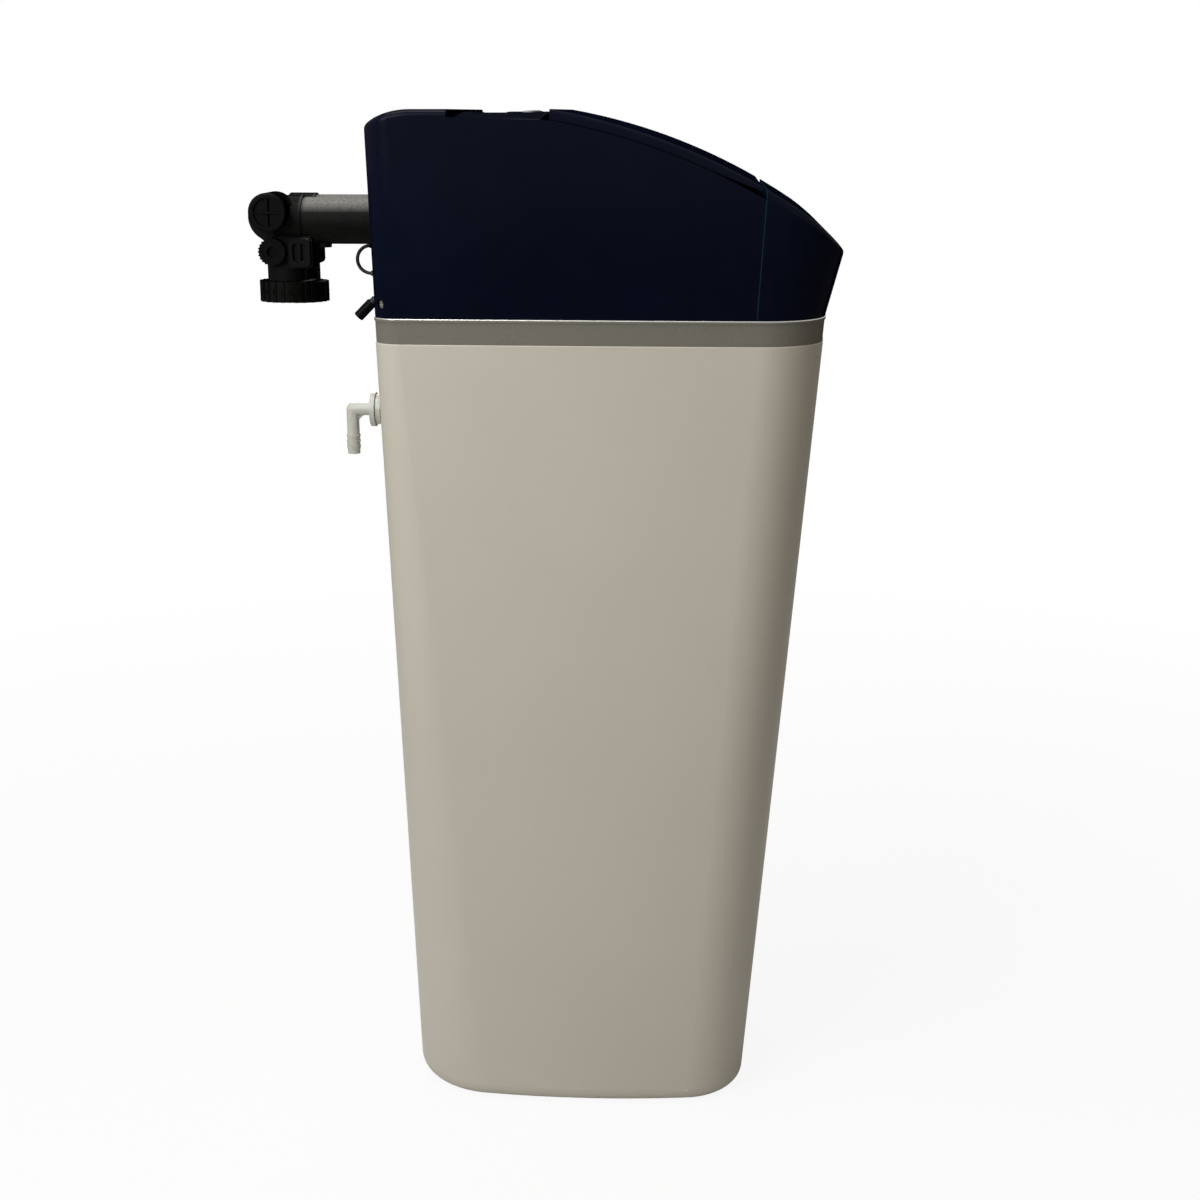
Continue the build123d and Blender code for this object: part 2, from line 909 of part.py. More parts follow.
lens_top = deck_top + panel_crest - panel_wall / 2
with BuildPart() as display_lens:
    with BuildSketch(Plane.XY.offset(lens_top - lens_thickness)):
        with Locations((0, window_y)):
            Rectangle(window_width - 2 * seat_gap, window_depth - 2 * seat_gap)
    extrude(amount=lens_thickness)
    fillet(display_lens.edges().filter_by(Axis.Z), radius=lens_thickness)
finish(display_lens.part, "display_lens")

board_top = deck_top + board_thickness
with BuildPart() as control_board:
    with BuildSketch(Plane.XY.offset(deck_top)):
        with Locations((0, (panel_rear_y + panel_front_y) / 2)):
            Rectangle(board_width, board_depth)
    extrude(amount=board_thickness)
    with BuildSketch(Plane.XY.offset(board_top)):
        with Locations(*button_places):
            Rectangle(button_radius, button_radius)
        with Locations((coil_x, window_y), (-coil_x, window_y)):
            Rectangle(coil_width, coil_depth)
    extrude(amount=board_thickness)
finish(control_board.part, "control_board")

with BuildPart() as display_module:
    with BuildSketch(Plane.XY.offset(board_top + board_thickness)):
        with Locations((0, window_y)):
            Rectangle(module_width, module_depth)
    extrude(amount=lens_top - lens_thickness - board_top - board_thickness)
finish(display_module.part, "display_module")

button_bottom = board_top + board_thickness + button_travel + seat_gap
for name, place in zip(button_names, button_places):
    drop = (panel_crest - panel_side_height) * (place[0] / panel_half_width) ** 2
    skin_top = deck_top + panel_crest - drop
    flange_top = skin_top - panel_wall - seat_gap - button_proud
    with BuildPart() as button:
        with BuildSketch(Plane.XY.offset(button_bottom)):
            with Locations(place):
                Circle(button_radius)
        extrude(amount=skin_top + button_proud - button_bottom)
        fillet(button.faces().sort_by(Axis.Z)[-1].edges(), radius=button_proud / 2)
        with BuildSketch(Plane.XY.offset(flange_top - button_flange_thickness)):
            with Locations(place):
                Circle(button_radius + button_flange)
        extrude(amount=button_flange_thickness)
    finish(button.part, name)


# Resin tank: domed foot and shoulder, straight side, short neck
def tank_form(inset, top):
    """The tank's form, drawn in by inset, up to a height."""
    radius = tank_radius - inset
    neck = tank_neck_radius - inset
    foot = tank_foot_z + inset
    low_spring = tank_foot_z + tank_dome
    high_end = tank_shoulder_z + tank_dome - inset
    with BuildPart() as form:
        with BuildSketch(Plane.XZ.offset(-tank_y)):
            with BuildLine():
                Line((0, foot), (neck, foot))
                ThreePointArc(
                    (neck, foot),
                    (between(neck, radius, diagonal_share), between(low_spring, foot, diagonal_share)),
                    (radius, low_spring),
                )
                Line((radius, low_spring), (radius, tank_shoulder_z))
                ThreePointArc(
                    (radius, tank_shoulder_z),
                    (
                        between(neck, radius, diagonal_share),
                        between(tank_shoulder_z, high_end, diagonal_share),
                    ),
                    (neck, high_end),
                )
                Polyline((neck, high_end), (neck, tank_neck_top), (0, tank_neck_top), (0, foot))
            make_face()
        revolve(axis=Axis((0, tank_y, 0), (0, 0, 1)))
        if top < tank_neck_top:
            split(bisect_by=Plane.XY.offset(top), keep=Keep.BOTTOM)
    return form.part


tank_outer = tank_form(0, tank_neck_top)
tank_inner = tank_form(tank_wall, tank_neck_top - tank_wall)
with BuildPart() as resin_tank:
    add(tank_outer)
    add(tank_inner, mode=Mode.SUBTRACT)
    with BuildSketch(Plane.XY.offset(tank_neck_top)):
        with Locations((0, tank_y)):
            Circle(tank_mouth_radius)
    extrude(amount=-tank_wall * 2, mode=Mode.SUBTRACT)
finish(resin_tank.part, "resin_tank")

tank_seat = tank_form(-seat_gap, cabinet_floor + boot_height + overrun)
with BuildPart() as tank_boot:
    with BuildSketch(Plane.XY.offset(cabinet_floor)):
        with Locations((0, tank_y)):
            Circle(boot_radius)
    extrude(amount=boot_height)
    fillet(tank_boot.faces().sort_by(Axis.Z)[0].edges(), radius=base_round - cabinet_wall)
    add(tank_seat, mode=Mode.SUBTRACT)
finish(tank_boot.part, "tank_boot")

basket_foot_z = tank_foot_z + tank_wall + seat_gap
with BuildPart() as lower_basket:
    with BuildSketch(Plane.XY.offset(basket_foot_z)):
        with Locations((0, tank_y)):
            Circle(basket_radius)
            with PolarLocations(basket_radius, basket_slots):
                Rectangle(basket_slot_depth * 2, basket_slot_width, mode=Mode.SUBTRACT)
    extrude(amount=basket_height)
    with BuildSketch(Plane.XY.offset(riser_foot_z)):
        with Locations((0, tank_y)):
            Circle(riser_radius + running)
    extrude(amount=basket_height, mode=Mode.SUBTRACT)
finish(lower_basket.part, "lower_basket")

riser_top = tank_neck_top - seat_gap
with BuildPart() as riser_tube:
    with BuildSketch(Plane.XY.offset(riser_foot_z)):
        with Locations((0, tank_y)):
            Circle(riser_radius)
            Circle(riser_radius - riser_wall, mode=Mode.SUBTRACT)
    extrude(amount=riser_top - riser_foot_z)
finish(riser_tube.part, "riser_tube")

basket_top_z = tank_neck_top - valve_neck_depth - seat_gap
with BuildPart() as upper_basket:
    with BuildSketch(Plane.XY.offset(basket_top_z)):
        with Locations((0, tank_y)):
            Circle(basket_radius)
            Circle(riser_radius + running, mode=Mode.SUBTRACT)
            with PolarLocations(basket_radius, basket_slots):
                Rectangle(basket_slot_depth * 2, basket_slot_width, mode=Mode.SUBTRACT)
    extrude(amount=-basket_height / 2)
finish(upper_basket.part, "upper_basket")

resin_form = tank_form(tank_wall + seat_gap, resin_top)
with BuildPart() as resin_bed:
    add(resin_form)
    with BuildSketch(Plane.XY.offset(tank_foot_z)):
        with Locations((0, tank_y)):
            Circle(basket_radius + seat_gap)
    extrude(amount=basket_foot_z + basket_height + seat_gap - tank_foot_z, mode=Mode.SUBTRACT)
    with BuildSketch(Plane.XY.offset(tank_foot_z)):
        with Locations((0, tank_y)):
            Circle(riser_radius + seat_gap)
    extrude(amount=resin_top, mode=Mode.SUBTRACT)
finish(resin_bed.part, "resin_bed")

# Control valve on the tank's neck
port_bore = port_radius - port_wall
body_top = valve_top - valve_cap_height
with BuildPart() as valve_body:
    with BuildSketch(Plane.XY.offset(tank_neck_top)):
        with Locations((0, tank_y)):
            Circle(valve_radius)
    extrude(amount=body_top - tank_neck_top)
    with BuildSketch(Plane.XZ.offset(-tank_y)):
        with Locations((-port_x, port_z), (port_x, port_z)):
            Circle(port_radius)
    extrude(amount=-(valve_port_y - tank_y))
    with BuildSketch(Plane.YZ.offset(-injector_x)):
        with Locations((tank_y, injector_z)):
            Circle(injector_radius)
    extrude(amount=injector_x * 2)
    with BuildSketch(Plane.YZ.offset(-fitting_x)):
        with Locations((tank_y, brine_tube_z)):
            Circle(fitting_radius)
    extrude(amount=fitting_x)
    with BuildSketch(Plane.XY.offset(tank_neck_top)):
        with Locations((0, tank_y)):
            Circle(tank_mouth_radius - running)
    extrude(amount=-valve_neck_depth)
    with BuildSketch(Plane.XZ.offset(-valve_front_y)):
        with Locations((0, body_top)):
            Rectangle(4 * valve_radius, body_top)
    extrude(amount=valve_radius, mode=Mode.SUBTRACT)
    with BuildSketch(Plane.XY.offset(tank_neck_top - valve_neck_depth)):
        with Locations((0, tank_y)):
            Circle(riser_radius + running)
    extrude(amount=valve_neck_depth, mode=Mode.SUBTRACT)
    with BuildSketch(Plane.XZ.offset(-valve_front_y)):
        with Locations((0, piston_z)):
            Circle(piston_radius + running)
    extrude(amount=-(piston_bore_end_y - valve_front_y), mode=Mode.SUBTRACT)
    with BuildSketch(Plane.XZ.offset(-valve_port_y)):
        with Locations((-port_x, port_z), (port_x, port_z)):
            Circle(port_bore)
    extrude(amount=valve_port_y - tank_y, mode=Mode.SUBTRACT)
finish(valve_body.part, "valve_body")

with BuildPart() as valve_cap:
    with BuildSketch(Plane.XY.offset(body_top)):
        with Locations((0, tank_y)):
            Circle(valve_cap_radius)
    extrude(amount=valve_cap_height)
    fillet(valve_cap.faces().sort_by(Axis.Z)[-1].edges(), radius=valve_cap_round)
    with BuildSketch(Plane.XZ.offset(-valve_front_y - seat_gap)):
        with Locations((0, body_top)):
            Rectangle(2 * valve_cap_radius, valve_cap_radius)
    extrude(amount=valve_radius, mode=Mode.SUBTRACT)
finish(valve_cap.part, "valve_cap")

with BuildPart() as injector_cap:
    with BuildSketch(Plane.YZ.offset(-injector_x)):
        with Locations((tank_y, injector_z)):
            RegularPolygon(injector_radius, 6)
    extrude(amount=-injector_height)
    fillet(injector_cap.faces().sort_by(Axis.X)[0].edges(), radius=injector_edge_round)
finish(injector_cap.part, "injector_cap")

drain_x = injector_x + injector_radius
with BuildPart() as drain_elbow:
    with BuildSketch(Plane.YZ.offset(injector_x)):
        with Locations((tank_y, injector_z)):
            Circle(injector_radius)
    extrude(amount=drain_flange_thickness)
    with BuildSketch(Plane.YZ.offset(injector_x)):
        with Locations((tank_y, injector_z)):
            Circle(drain_radius)
    extrude(amount=injector_radius)
    with BuildSketch(Plane.XY.offset(injector_z + drain_knuckle_radius)):
        with Locations((drain_x, tank_y)):
            Circle(drain_knuckle_radius)
    extrude(amount=drain_spout_length - drain_drop - drain_knuckle_radius)
    with BuildSketch(Plane.XY.offset(injector_z - drain_drop)):
        with Locations((drain_x, tank_y)):
            Circle(drain_radius)
    extrude(amount=drain_spout_length)
    with BuildSketch(Plane.XY.offset(injector_z)):
        with Locations((drain_x, tank_y)):
            Circle(drain_bore)
    extrude(amount=-drain_drop, mode=Mode.SUBTRACT)
finish(drain_elbow.part, "drain_elbow")

# Piston: rings on a plug, with its rod running forward through the drive gear
piston_front_y = piston_rest_y - piston_length
with BuildPart() as valve_piston:
    with BuildSketch(Plane.XZ.offset(-piston_rest_y)):
        with Locations((0, piston_z)):
            Circle(piston_radius)
    extrude(amount=piston_length)
    for share in piston_ring_shares:
        groove_y = between(piston_front_y, piston_rest_y, share)
        with BuildSketch(Plane.XZ.offset(-groove_y)):
            with Locations((0, piston_z)):
                Circle(piston_radius)
                Circle(piston_radius - piston_ring_depth, mode=Mode.SUBTRACT)
        extrude(amount=piston_ring_width, mode=Mode.SUBTRACT)
    with BuildSketch(Plane.XZ.offset(-piston_front_y)):
        with Locations((0, piston_z)):
            Circle(piston_rod_radius)
    extrude(amount=piston_front_y - piston_rod_front_y)
finish(valve_piston.part, "valve_piston")


def wheel_plane(y, z):
    """Plane square to the drive's axes, facing the front."""
    return Plane(origin=(0, y, z), x_dir=(1, 0, 0), z_dir=(0, -1, 0))


def toothed_outline(teeth, start_angle):
    """Outline of a spur gear with straight-sided teeth."""
    pitch_radius = gear_module * teeth / 2
    root = pitch_radius - gear_module * tooth_dedendum
    tip = pitch_radius + gear_module * tooth_addendum
    with BuildSketch() as outline:
        Circle(root)
        with PolarLocations(0, teeth, start_angle=start_angle):
            Polygon(
                (root - gear_module, -tooth_root_width / 2),
                (tip, -tooth_tip_width / 2),
                (tip, tooth_tip_width / 2),
                (root - gear_module, tooth_root_width / 2),
                align=None,
            )
    return outline.sketch


gear_rear_y = valve_front_y - bracket_thickness - gear_gap
gear_front_y = gear_rear_y - gear_width
pinion_z = piston_z + gear_module * (gear_teeth + pinion_teeth) / 2
gear_outline = toothed_outline(gear_teeth, 0)
pinion_outline = toothed_outline(pinion_teeth, 180 / pinion_teeth)
with BuildPart() as drive_gear:
    with BuildSketch(wheel_plane(gear_rear_y, piston_z)):
        add(gear_outline)
    extrude(amount=gear_width)
    with BuildSketch(wheel_plane(valve_front_y - seat_gap, piston_z)):
        Circle(gear_boss_radius)
    extrude(amount=bracket_thickness + gear_gap)
    with BuildSketch(wheel_plane(gear_front_y, piston_z)):
        Circle(gear_hub_radius)
    extrude(amount=gear_hub_length)
    with BuildSketch(wheel_plane(valve_front_y, piston_z)):
        Circle(piston_rod_radius + running)
    extrude(amount=valve_front_y, mode=Mode.SUBTRACT)
finish(drive_gear.part, "drive_gear")

motor_rear_y = gear_front_y - gear_gap
with BuildPart() as motor_pinion:
    with BuildSketch(wheel_plane(gear_rear_y, pinion_z)):
        add(pinion_outline)
    extrude(amount=gear_width)
    with BuildSketch(wheel_plane(valve_front_y - seat_gap, pinion_z)):
        Circle(motor_shaft_radius)
    extrude(amount=valve_front_y - seat_gap - motor_rear_y + motor_socket_depth - seat_gap)
finish(motor_pinion.part, "motor_pinion")

with BuildPart() as drive_motor:
    with BuildSketch(wheel_plane(motor_rear_y, pinion_z)):
        Circle(motor_radius)
    extrude(amount=motor_length)
    fillet(drive_motor.faces().sort_by(Axis.Y)[0].edges(), radius=motor_ear_thickness)
    with BuildSketch(wheel_plane(motor_rear_y, pinion_z)):
        RectangleRounded(motor_ear_width, motor_ear_height, motor_ear_round)
    extrude(amount=motor_ear_thickness)
    with BuildSketch(wheel_plane(motor_rear_y, pinion_z)):
        Circle(motor_shaft_radius + running)
    extrude(amount=motor_socket_depth, mode=Mode.SUBTRACT)
finish(drive_motor.part, "drive_motor")

with BuildPart() as drive_bracket:
    with BuildSketch(wheel_plane(valve_front_y, (bracket_low_z + bracket_high_z) / 2)):
        RectangleRounded(
            bracket_half_width * 2, bracket_high_z - bracket_low_z, bracket_thickness
        )
    extrude(amount=bracket_thickness)
    with BuildSketch(wheel_plane(valve_front_y, pinion_z)):
        with Locations((-post_x, 0), (post_x, 0)):
            Circle(post_radius)
    extrude(amount=valve_front_y - motor_rear_y)
    with BuildSketch(wheel_plane(valve_front_y, pinion_z)):
        Circle(motor_shaft_radius + running)
        with Locations((0, piston_z - pinion_z)):
            Circle(gear_boss_radius + running)
    extrude(amount=bracket_thickness, mode=Mode.SUBTRACT)
finish(drive_bracket.part, "drive_bracket")


# Two tubes from the valve to the bypass valve
def tube_part(x):
    """One straight tube with its bore."""
    with BuildPart() as tube:
        with BuildSketch(Plane.XZ.offset(-valve_port_y)):
            with Locations((x, port_z)):
                Circle(port_radius)
        extrude(amount=-(tube_end_y - valve_port_y))
        if x < 0:
            with BuildSketch(Plane.XY.offset(port_z - port_radius - meter_plug_drop)):
                with Locations((x, meter_plug_y)):
                    Circle(meter_plug_radius)
            extrude(amount=port_wall + meter_plug_drop)
        with BuildSketch(Plane.XZ.offset(-valve_port_y)):
            with Locations((x, port_z)):
                Circle(port_bore)
        extrude(amount=-(tube_end_y - valve_port_y), mode=Mode.SUBTRACT)
    return tube.part


finish(tube_part(port_x), "inlet_tube")
finish(tube_part(-port_x), "meter_housing")

# Turbine of the flow meter between two spiders
turbine_front_y = meter_y - turbine_length / 2
with BuildPart() as turbine:
    with BuildSketch(Plane.XZ.offset(-turbine_front_y)):
        with Locations((-port_x, port_z)):
            Circle(turbine_hub_radius)
    extrude(amount=-turbine_length)
    for index in range(turbine_blades):
        spin = Rotation(0, 360 / turbine_blades * index, 0)
        with BuildSketch(Plane(Location((-port_x, meter_y, port_z)) * spin)):
            Rectangle(blade_thickness, blade_length, rotation=blade_angle)
        extrude(amount=turbine_radius)
    with BuildSketch(Plane.XZ.offset(-(meter_y - turbine_shaft_length / 2))):
        with Locations((-port_x, port_z)):
            Circle(turbine_shaft_radius)
    extrude(amount=-turbine_shaft_length)
finish(turbine.part, "turbine")

with BuildPart() as turbine_cage:
    for side in (-1, 1):
        near_y = meter_y + side * (turbine_length / 2 + turbine_gap)
        with BuildSketch(Plane.XZ.offset(-near_y)):
            with Locations((-port_x, port_z)):
                Circle(port_bore - running)
                Circle(port_bore - running - spider_rim, mode=Mode.SUBTRACT)
                with PolarLocations(0, spider_spokes):
                    with Locations((port_bore / 2, 0)):
                        Rectangle(port_bore - spider_rim, spider_spoke_width)
                Circle(spider_hub_radius)
                Circle(turbine_shaft_radius + running, mode=Mode.SUBTRACT)
        extrude(amount=-side * spider_length)
finish(turbine_cage.part, "turbine_cage")

relief_tip_y, relief_z = cable_route[0][1:]
sensor_rear_y = cable_route[-1][1]
with BuildPart() as meter_sensor:
    with BuildSketch(Plane.XY.offset(sensor_low_z)):
        with Locations((0, sensor_rear_y - sensor_length / 2)):
            RectangleRounded(sensor_width, sensor_length, sensor_round)
    extrude(amount=sensor_height)
finish(meter_sensor.part, "meter_sensor")

# Meter cable: one open loop from the cover's rear wall up to the sensor
with BuildPart() as meter_cable:
    with BuildLine() as cable_line:
        FilletPolyline(*cable_route, radius=cable_bend)
    with BuildSketch(Plane(origin=cable_route[0], z_dir=(0, 1, 0))):
        Circle(cable_radius)
    sweep(path=cable_line.line)
finish(meter_cable.part, "meter_cable")
cable_length = sum(edge.length for edge in cable_line.edges())
cable_share = meter_cable.part.volume / (math.pi * cable_radius**2 * cable_length)
print("cable bend", cable_bend, "length", cable_length, "volume share", cable_share)

relief_wall_y = rear_wall_y(0, relief_z)
with BuildPart() as cable_relief:
    with BuildSketch(Plane.YZ):
        with BuildLine():
            Polyline(
                (relief_wall_y - 2 * cover_wall, relief_z),
                (relief_wall_y - 2 * cover_wall, relief_z + relief_base_radius - running),
                (relief_wall_y + slack, relief_z + relief_base_radius - running),
                (relief_wall_y + slack, relief_z + relief_collar),
                (relief_wall_y + slack + relief_collar_thickness, relief_z + relief_collar),
                (relief_wall_y + slack + relief_collar_thickness, relief_z + relief_base_radius),
                (relief_tip_y, relief_z + relief_tip_radius),
                (relief_tip_y, relief_z),
                close=True,
            )
        make_face()
    revolve(axis=Axis((0, 0, relief_z), (0, 1, 0)))
    for index in range(relief_grooves):
        start_y = relief_wall_y + relief_groove_start + relief_groove_pitch * index
        with BuildSketch(Plane.XZ.offset(-start_y)):
            with Locations((0, relief_z)):
                Circle(relief_collar)
                Circle(relief_groove_inner, mode=Mode.SUBTRACT)
        extrude(amount=-relief_groove_width, mode=Mode.SUBTRACT)
finish(cable_relief.part, "cable_relief")

# Bypass valve body: saddle, plunger barrel, two legs, pads and sockets
neck_length = nut_lip + 2 * seat_gap
pad_front_y = clip_y - clip_width / 2 - clip_pad_margin
leg_places = [(-port_x, leg_bottom), (port_x, leg_bottom - right_leg_drop)]
leg_pads = [
    (-port_x, pad_front_y, -leg_radius),
    (port_x, plug_pad_front_y, leg_radius),
    (port_x, pad_front_y + right_clip_shift, -leg_radius),
]
with BuildPart() as bypass_body:
    with BuildSketch(Plane.YZ.offset(-body_half_length)):
        with Locations((bypass_y, port_z)):
            Circle(body_radius)
    extrude(amount=2 * body_half_length)
    with BuildSketch(Plane.YZ.offset(-barrel_half_length)):
        with Locations((barrel_y, barrel_z)):
            Circle(barrel_radius)
    extrude(amount=barrel_half_length - port_x)
    with BuildSketch(Plane.YZ.offset(collar_near_x)):
        with Locations((collar_y, collar_z)):
            Circle(collar_radius)
    extrude(amount=collar_length)
    with BuildSketch(Plane.YZ.offset(-port_x)):
        with Locations((barrel_y, barrel_z)):
            Circle(barrel_bore + barrel_wall)
    extrude(amount=barrel_half_length + port_x)
    for x, bottom in leg_places:
        with BuildSketch(Plane.XY.offset(bottom)):
            with Locations((x, leg_y)):
                Circle(leg_radius)
        extrude(amount=port_z - bottom)
        with BuildSketch(Plane.XY.offset(bottom - neck_length - leg_flange_height)):
            with Locations((x, leg_y)):
                Circle(leg_flange_radius)
        extrude(amount=leg_flange_height)
        with BuildSketch(Plane.XY.offset(bottom - neck_length - leg_flange_height)):
            with Locations((x, leg_y)):
                Circle(neck_radius)
        extrude(amount=neck_length + leg_flange_height * 2)
        with BuildSketch(Plane.XZ.offset(-(tube_end_y - tube_collar_length))):
            with Locations((x, port_z)):
                Circle(tube_collar_radius)
        extrude(amount=-(bypass_y - tube_end_y + tube_collar_length))
    for x, front_y, reach in leg_pads:
        with BuildSketch(Plane.YZ.offset(x)):
            with Locations(((plug_y + front_y) / 2, clip_z)):
                RectangleRounded(plug_y - front_y, clip_height + 2 * clip_pad_margin, clip_round)
        extrude(amount=reach)
    for x, bottom in leg_places:
        with BuildSketch(Plane.XZ.offset(-(pad_front_y - overrun))):
            with Locations((x, port_z)):
                Circle(port_radius + running)
        extrude(amount=-(tube_end_y + seat_gap - pad_front_y + overrun), mode=Mode.SUBTRACT)
        with BuildSketch(Plane.XZ.offset(-tube_end_y)):
            with Locations((x, port_z)):
                Circle(leg_bore)
        extrude(amount=-(bypass_y - tube_end_y), mode=Mode.SUBTRACT)
        with BuildSketch(Plane.XY.offset(bottom - neck_length - leg_flange_height)):
            with Locations((x, leg_y)):
                Circle(leg_bore)
        extrude(amount=port_z - bottom, mode=Mode.SUBTRACT)
    with BuildSketch(Plane.YZ.offset(-barrel_half_length)):
        with Locations((barrel_y, barrel_z)):
            Circle(barrel_bore)
    extrude(amount=2 * barrel_half_length, mode=Mode.SUBTRACT)
finish(bypass_body.part, "bypass_body")

# Bypass plunger: a ribbed knob and a plain push end, moved across to shut the softener off
left_knob_x = -barrel_half_length - seat_gap
right_knob_x = barrel_half_length + plunger_travel + seat_gap
with BuildPart() as bypass_plunger:
    plunger_ends = (
        (-plunger_knob_length, left_knob_x, barrel_radius),
        (plunger_knob_length, right_knob_x, plunger_button_radius),
    )
    for length, face_x, radius in plunger_ends:
        with BuildSketch(Plane.YZ.offset(face_x)):
            with Locations((barrel_y, barrel_z)):
                Circle(radius)
        extrude(amount=length)
    knob_faces = bypass_plunger.faces().sort_by(Axis.X)
    fillet(knob_faces[0].edges() + knob_faces[-1].edges(), radius=knob_edge_round)
    with BuildSketch(Plane.YZ.offset(left_knob_x - plunger_knob_length)):
        with Locations((barrel_y, barrel_z)):
            Circle(knob_dish_radius)
            Rectangle(knob_dish_radius * 2, knob_rib_width, mode=Mode.SUBTRACT)
            Rectangle(knob_rib_width, knob_dish_radius * 2, mode=Mode.SUBTRACT)
    extrude(amount=knob_dish_depth, mode=Mode.SUBTRACT)
    with BuildSketch(Plane.YZ.offset(left_knob_x - overrun)):
        with Locations((barrel_y, barrel_z)):
            Circle(plunger_rod_radius)
    extrude(amount=right_knob_x - left_knob_x + 2 * overrun)
    for share in plunger_land_shares:
        land_x = between(-barrel_half_length, barrel_half_length, share)
        with BuildSketch(Plane.YZ.offset(land_x - plunger_land_length / 2)):
            with Locations((barrel_y, barrel_z)):
                Circle(plunger_land_radius)
        extrude(amount=plunger_land_length)
finish(bypass_plunger.part, "bypass_plunger")


# Union nuts, washers, sampling plugs and retaining clips of the two legs
def union_nut(x, top):
    """Ribbed nut: lip under the leg, relief round the collar, threaded mouth below."""
    bottom = top - nut_height
    with BuildPart() as nut:
        with BuildSketch(Plane.XY.offset(bottom)):
            with Locations((x, leg_y)):
                Circle(nut_radius - nut_rib_depth)
                with PolarLocations(nut_radius - nut_rib_depth, nut_ribs):
                    Rectangle(2 * nut_rib_depth, nut_rib_width)
        extrude(amount=nut_height)
        with BuildSketch(Plane.XY.offset(bottom + (nut_height - nut_slot_height) / 2)):
            with Locations((x, leg_y)):
                with PolarLocations(nut_radius, nut_ribs):
                    Rectangle(2 * nut_rib_depth, nut_slot_width)
        extrude(amount=nut_slot_height, mode=Mode.SUBTRACT)
        with BuildSketch(Plane.XY.offset(bottom)):
            with Locations((x, leg_y)):
                Circle(neck_radius + slack)
        extrude(amount=nut_height, mode=Mode.SUBTRACT)
        with BuildSketch(Plane.XY.offset(bottom)):
            with Locations((x, leg_y)):
                Circle(nut_bore_radius)
        extrude(amount=nut_height - nut_lip, mode=Mode.SUBTRACT)
        with BuildSketch(Plane.XY.offset(bottom + nut_thread_length)):
            with Locations((x, leg_y)):
                Circle(nut_bore_radius + nut_relief)
        extrude(amount=nut_height - nut_lip - nut_thread_length, mode=Mode.SUBTRACT)
    return nut.part


for name, (x, bottom) in zip(("left", "right"), leg_places):
    finish(union_nut(x, bottom - seat_gap), name + "_union_nut")

with BuildPart() as port_washers:
    for x, bottom in leg_places:
        with BuildSketch(Plane.XY.offset(bottom - neck_length - leg_flange_height)):
            with Locations((x, leg_y)):
                Circle(leg_flange_radius)
                Circle(washer_bore, mode=Mode.SUBTRACT)
        extrude(amount=-washer_height)
finish(port_washers.part, "port_washers")

pad_face_x = port_x + leg_radius
for name, side in (("left", -1), ("right", 1)):
    with BuildPart() as sample_plug:
        with BuildSketch(Plane.YZ.offset(side * pad_face_x)):
            with Locations((plug_y, plug_z)):
                Circle(plug_radius)
                with PolarLocations(plug_radius, plug_serrations):
                    Circle(serration_radius)
        extrude(amount=side * plug_length)
        with BuildSketch(Plane.YZ.offset(side * (pad_face_x + plug_length))):
            with Locations((plug_y, plug_z)):
                Circle(plug_hole_radius)
        extrude(amount=-side * plug_hole_depth, mode=Mode.SUBTRACT)
    finish(sample_plug.part, name + "_sample_plug")

clip_places = {
    "left": (-pad_face_x, clip_y, clip_z),
    "right": (port_x - leg_radius, clip_y + right_clip_shift, clip_z - right_clip_drop),
}
for name, (face_x, middle_y, middle_z) in clip_places.items():
    with BuildPart() as port_clip:
        with BuildSketch(Plane.YZ.offset(face_x)):
            with Locations((middle_y, middle_z)):
                RectangleRounded(clip_width, clip_height, clip_round)
                RectangleRounded(
                    clip_width * clip_window_share,
                    clip_height * clip_window_share,
                    clip_round * clip_window_share,
                    mode=Mode.SUBTRACT,
                )
                Rectangle(clip_bar_width, clip_height - clip_bar_width)
        extrude(amount=-clip_thickness)
    finish(port_clip.part, name + "_port_clip")

# Power socket: grommet and ribbed lead, sleeve body, contacts
socket_wall_y = rear_wall_y(socket_x, socket_z)
tilt = math.radians(socket_tilt)
socket_axis = (0, math.cos(tilt), -math.sin(tilt))


def socket_plane(reach):
    """Plane square to the socket's axis at a distance along it from the wall."""
    return Plane(
        origin=(
            socket_x,
            socket_wall_y + socket_collar_thickness / 2 + socket_axis[1] * reach,
            socket_z + socket_axis[2] * reach,
        ),
        z_dir=socket_axis,
    )


with BuildPart() as dc_strain_relief:
    with BuildSketch(Plane.XZ.offset(-(socket_wall_y - cover_wall * 2))):
        with Locations((socket_x, socket_z)):
            Circle(socket_grommet_radius - running)
    extrude(amount=-cover_wall * 2 - slack)
    with BuildSketch(Plane.XZ.offset(-(socket_wall_y + slack))):
        with Locations((socket_x, socket_z)):
            Circle(socket_collar_radius)
    extrude(amount=-socket_collar_thickness)
    with BuildSketch(socket_plane(0)):
        Circle(socket_lead_radius)
    extrude(amount=socket_lead_length)
    for index in range(socket_lead_ribs):
        reach = socket_lead_length * (index + 1) / (socket_lead_ribs + 1)
        with BuildSketch(socket_plane(reach)):
            Circle(socket_lead_radius + socket_rib_height)
        extrude(amount=socket_rib_width)
finish(dc_strain_relief.part, "dc_strain_relief")

with BuildPart() as dc_socket:
    with BuildSketch(socket_plane(socket_lead_length)):
        Circle(socket_radius)
    extrude(amount=socket_length)
    fillet(dc_socket.faces().filter_by(GeomType.PLANE).edges(), radius=socket_edge_round)
    with BuildSketch(socket_plane(socket_lead_length + socket_length)):
        Circle(socket_bore)
    extrude(amount=-socket_bore_depth, mode=Mode.SUBTRACT)
finish(dc_socket.part, "dc_socket")

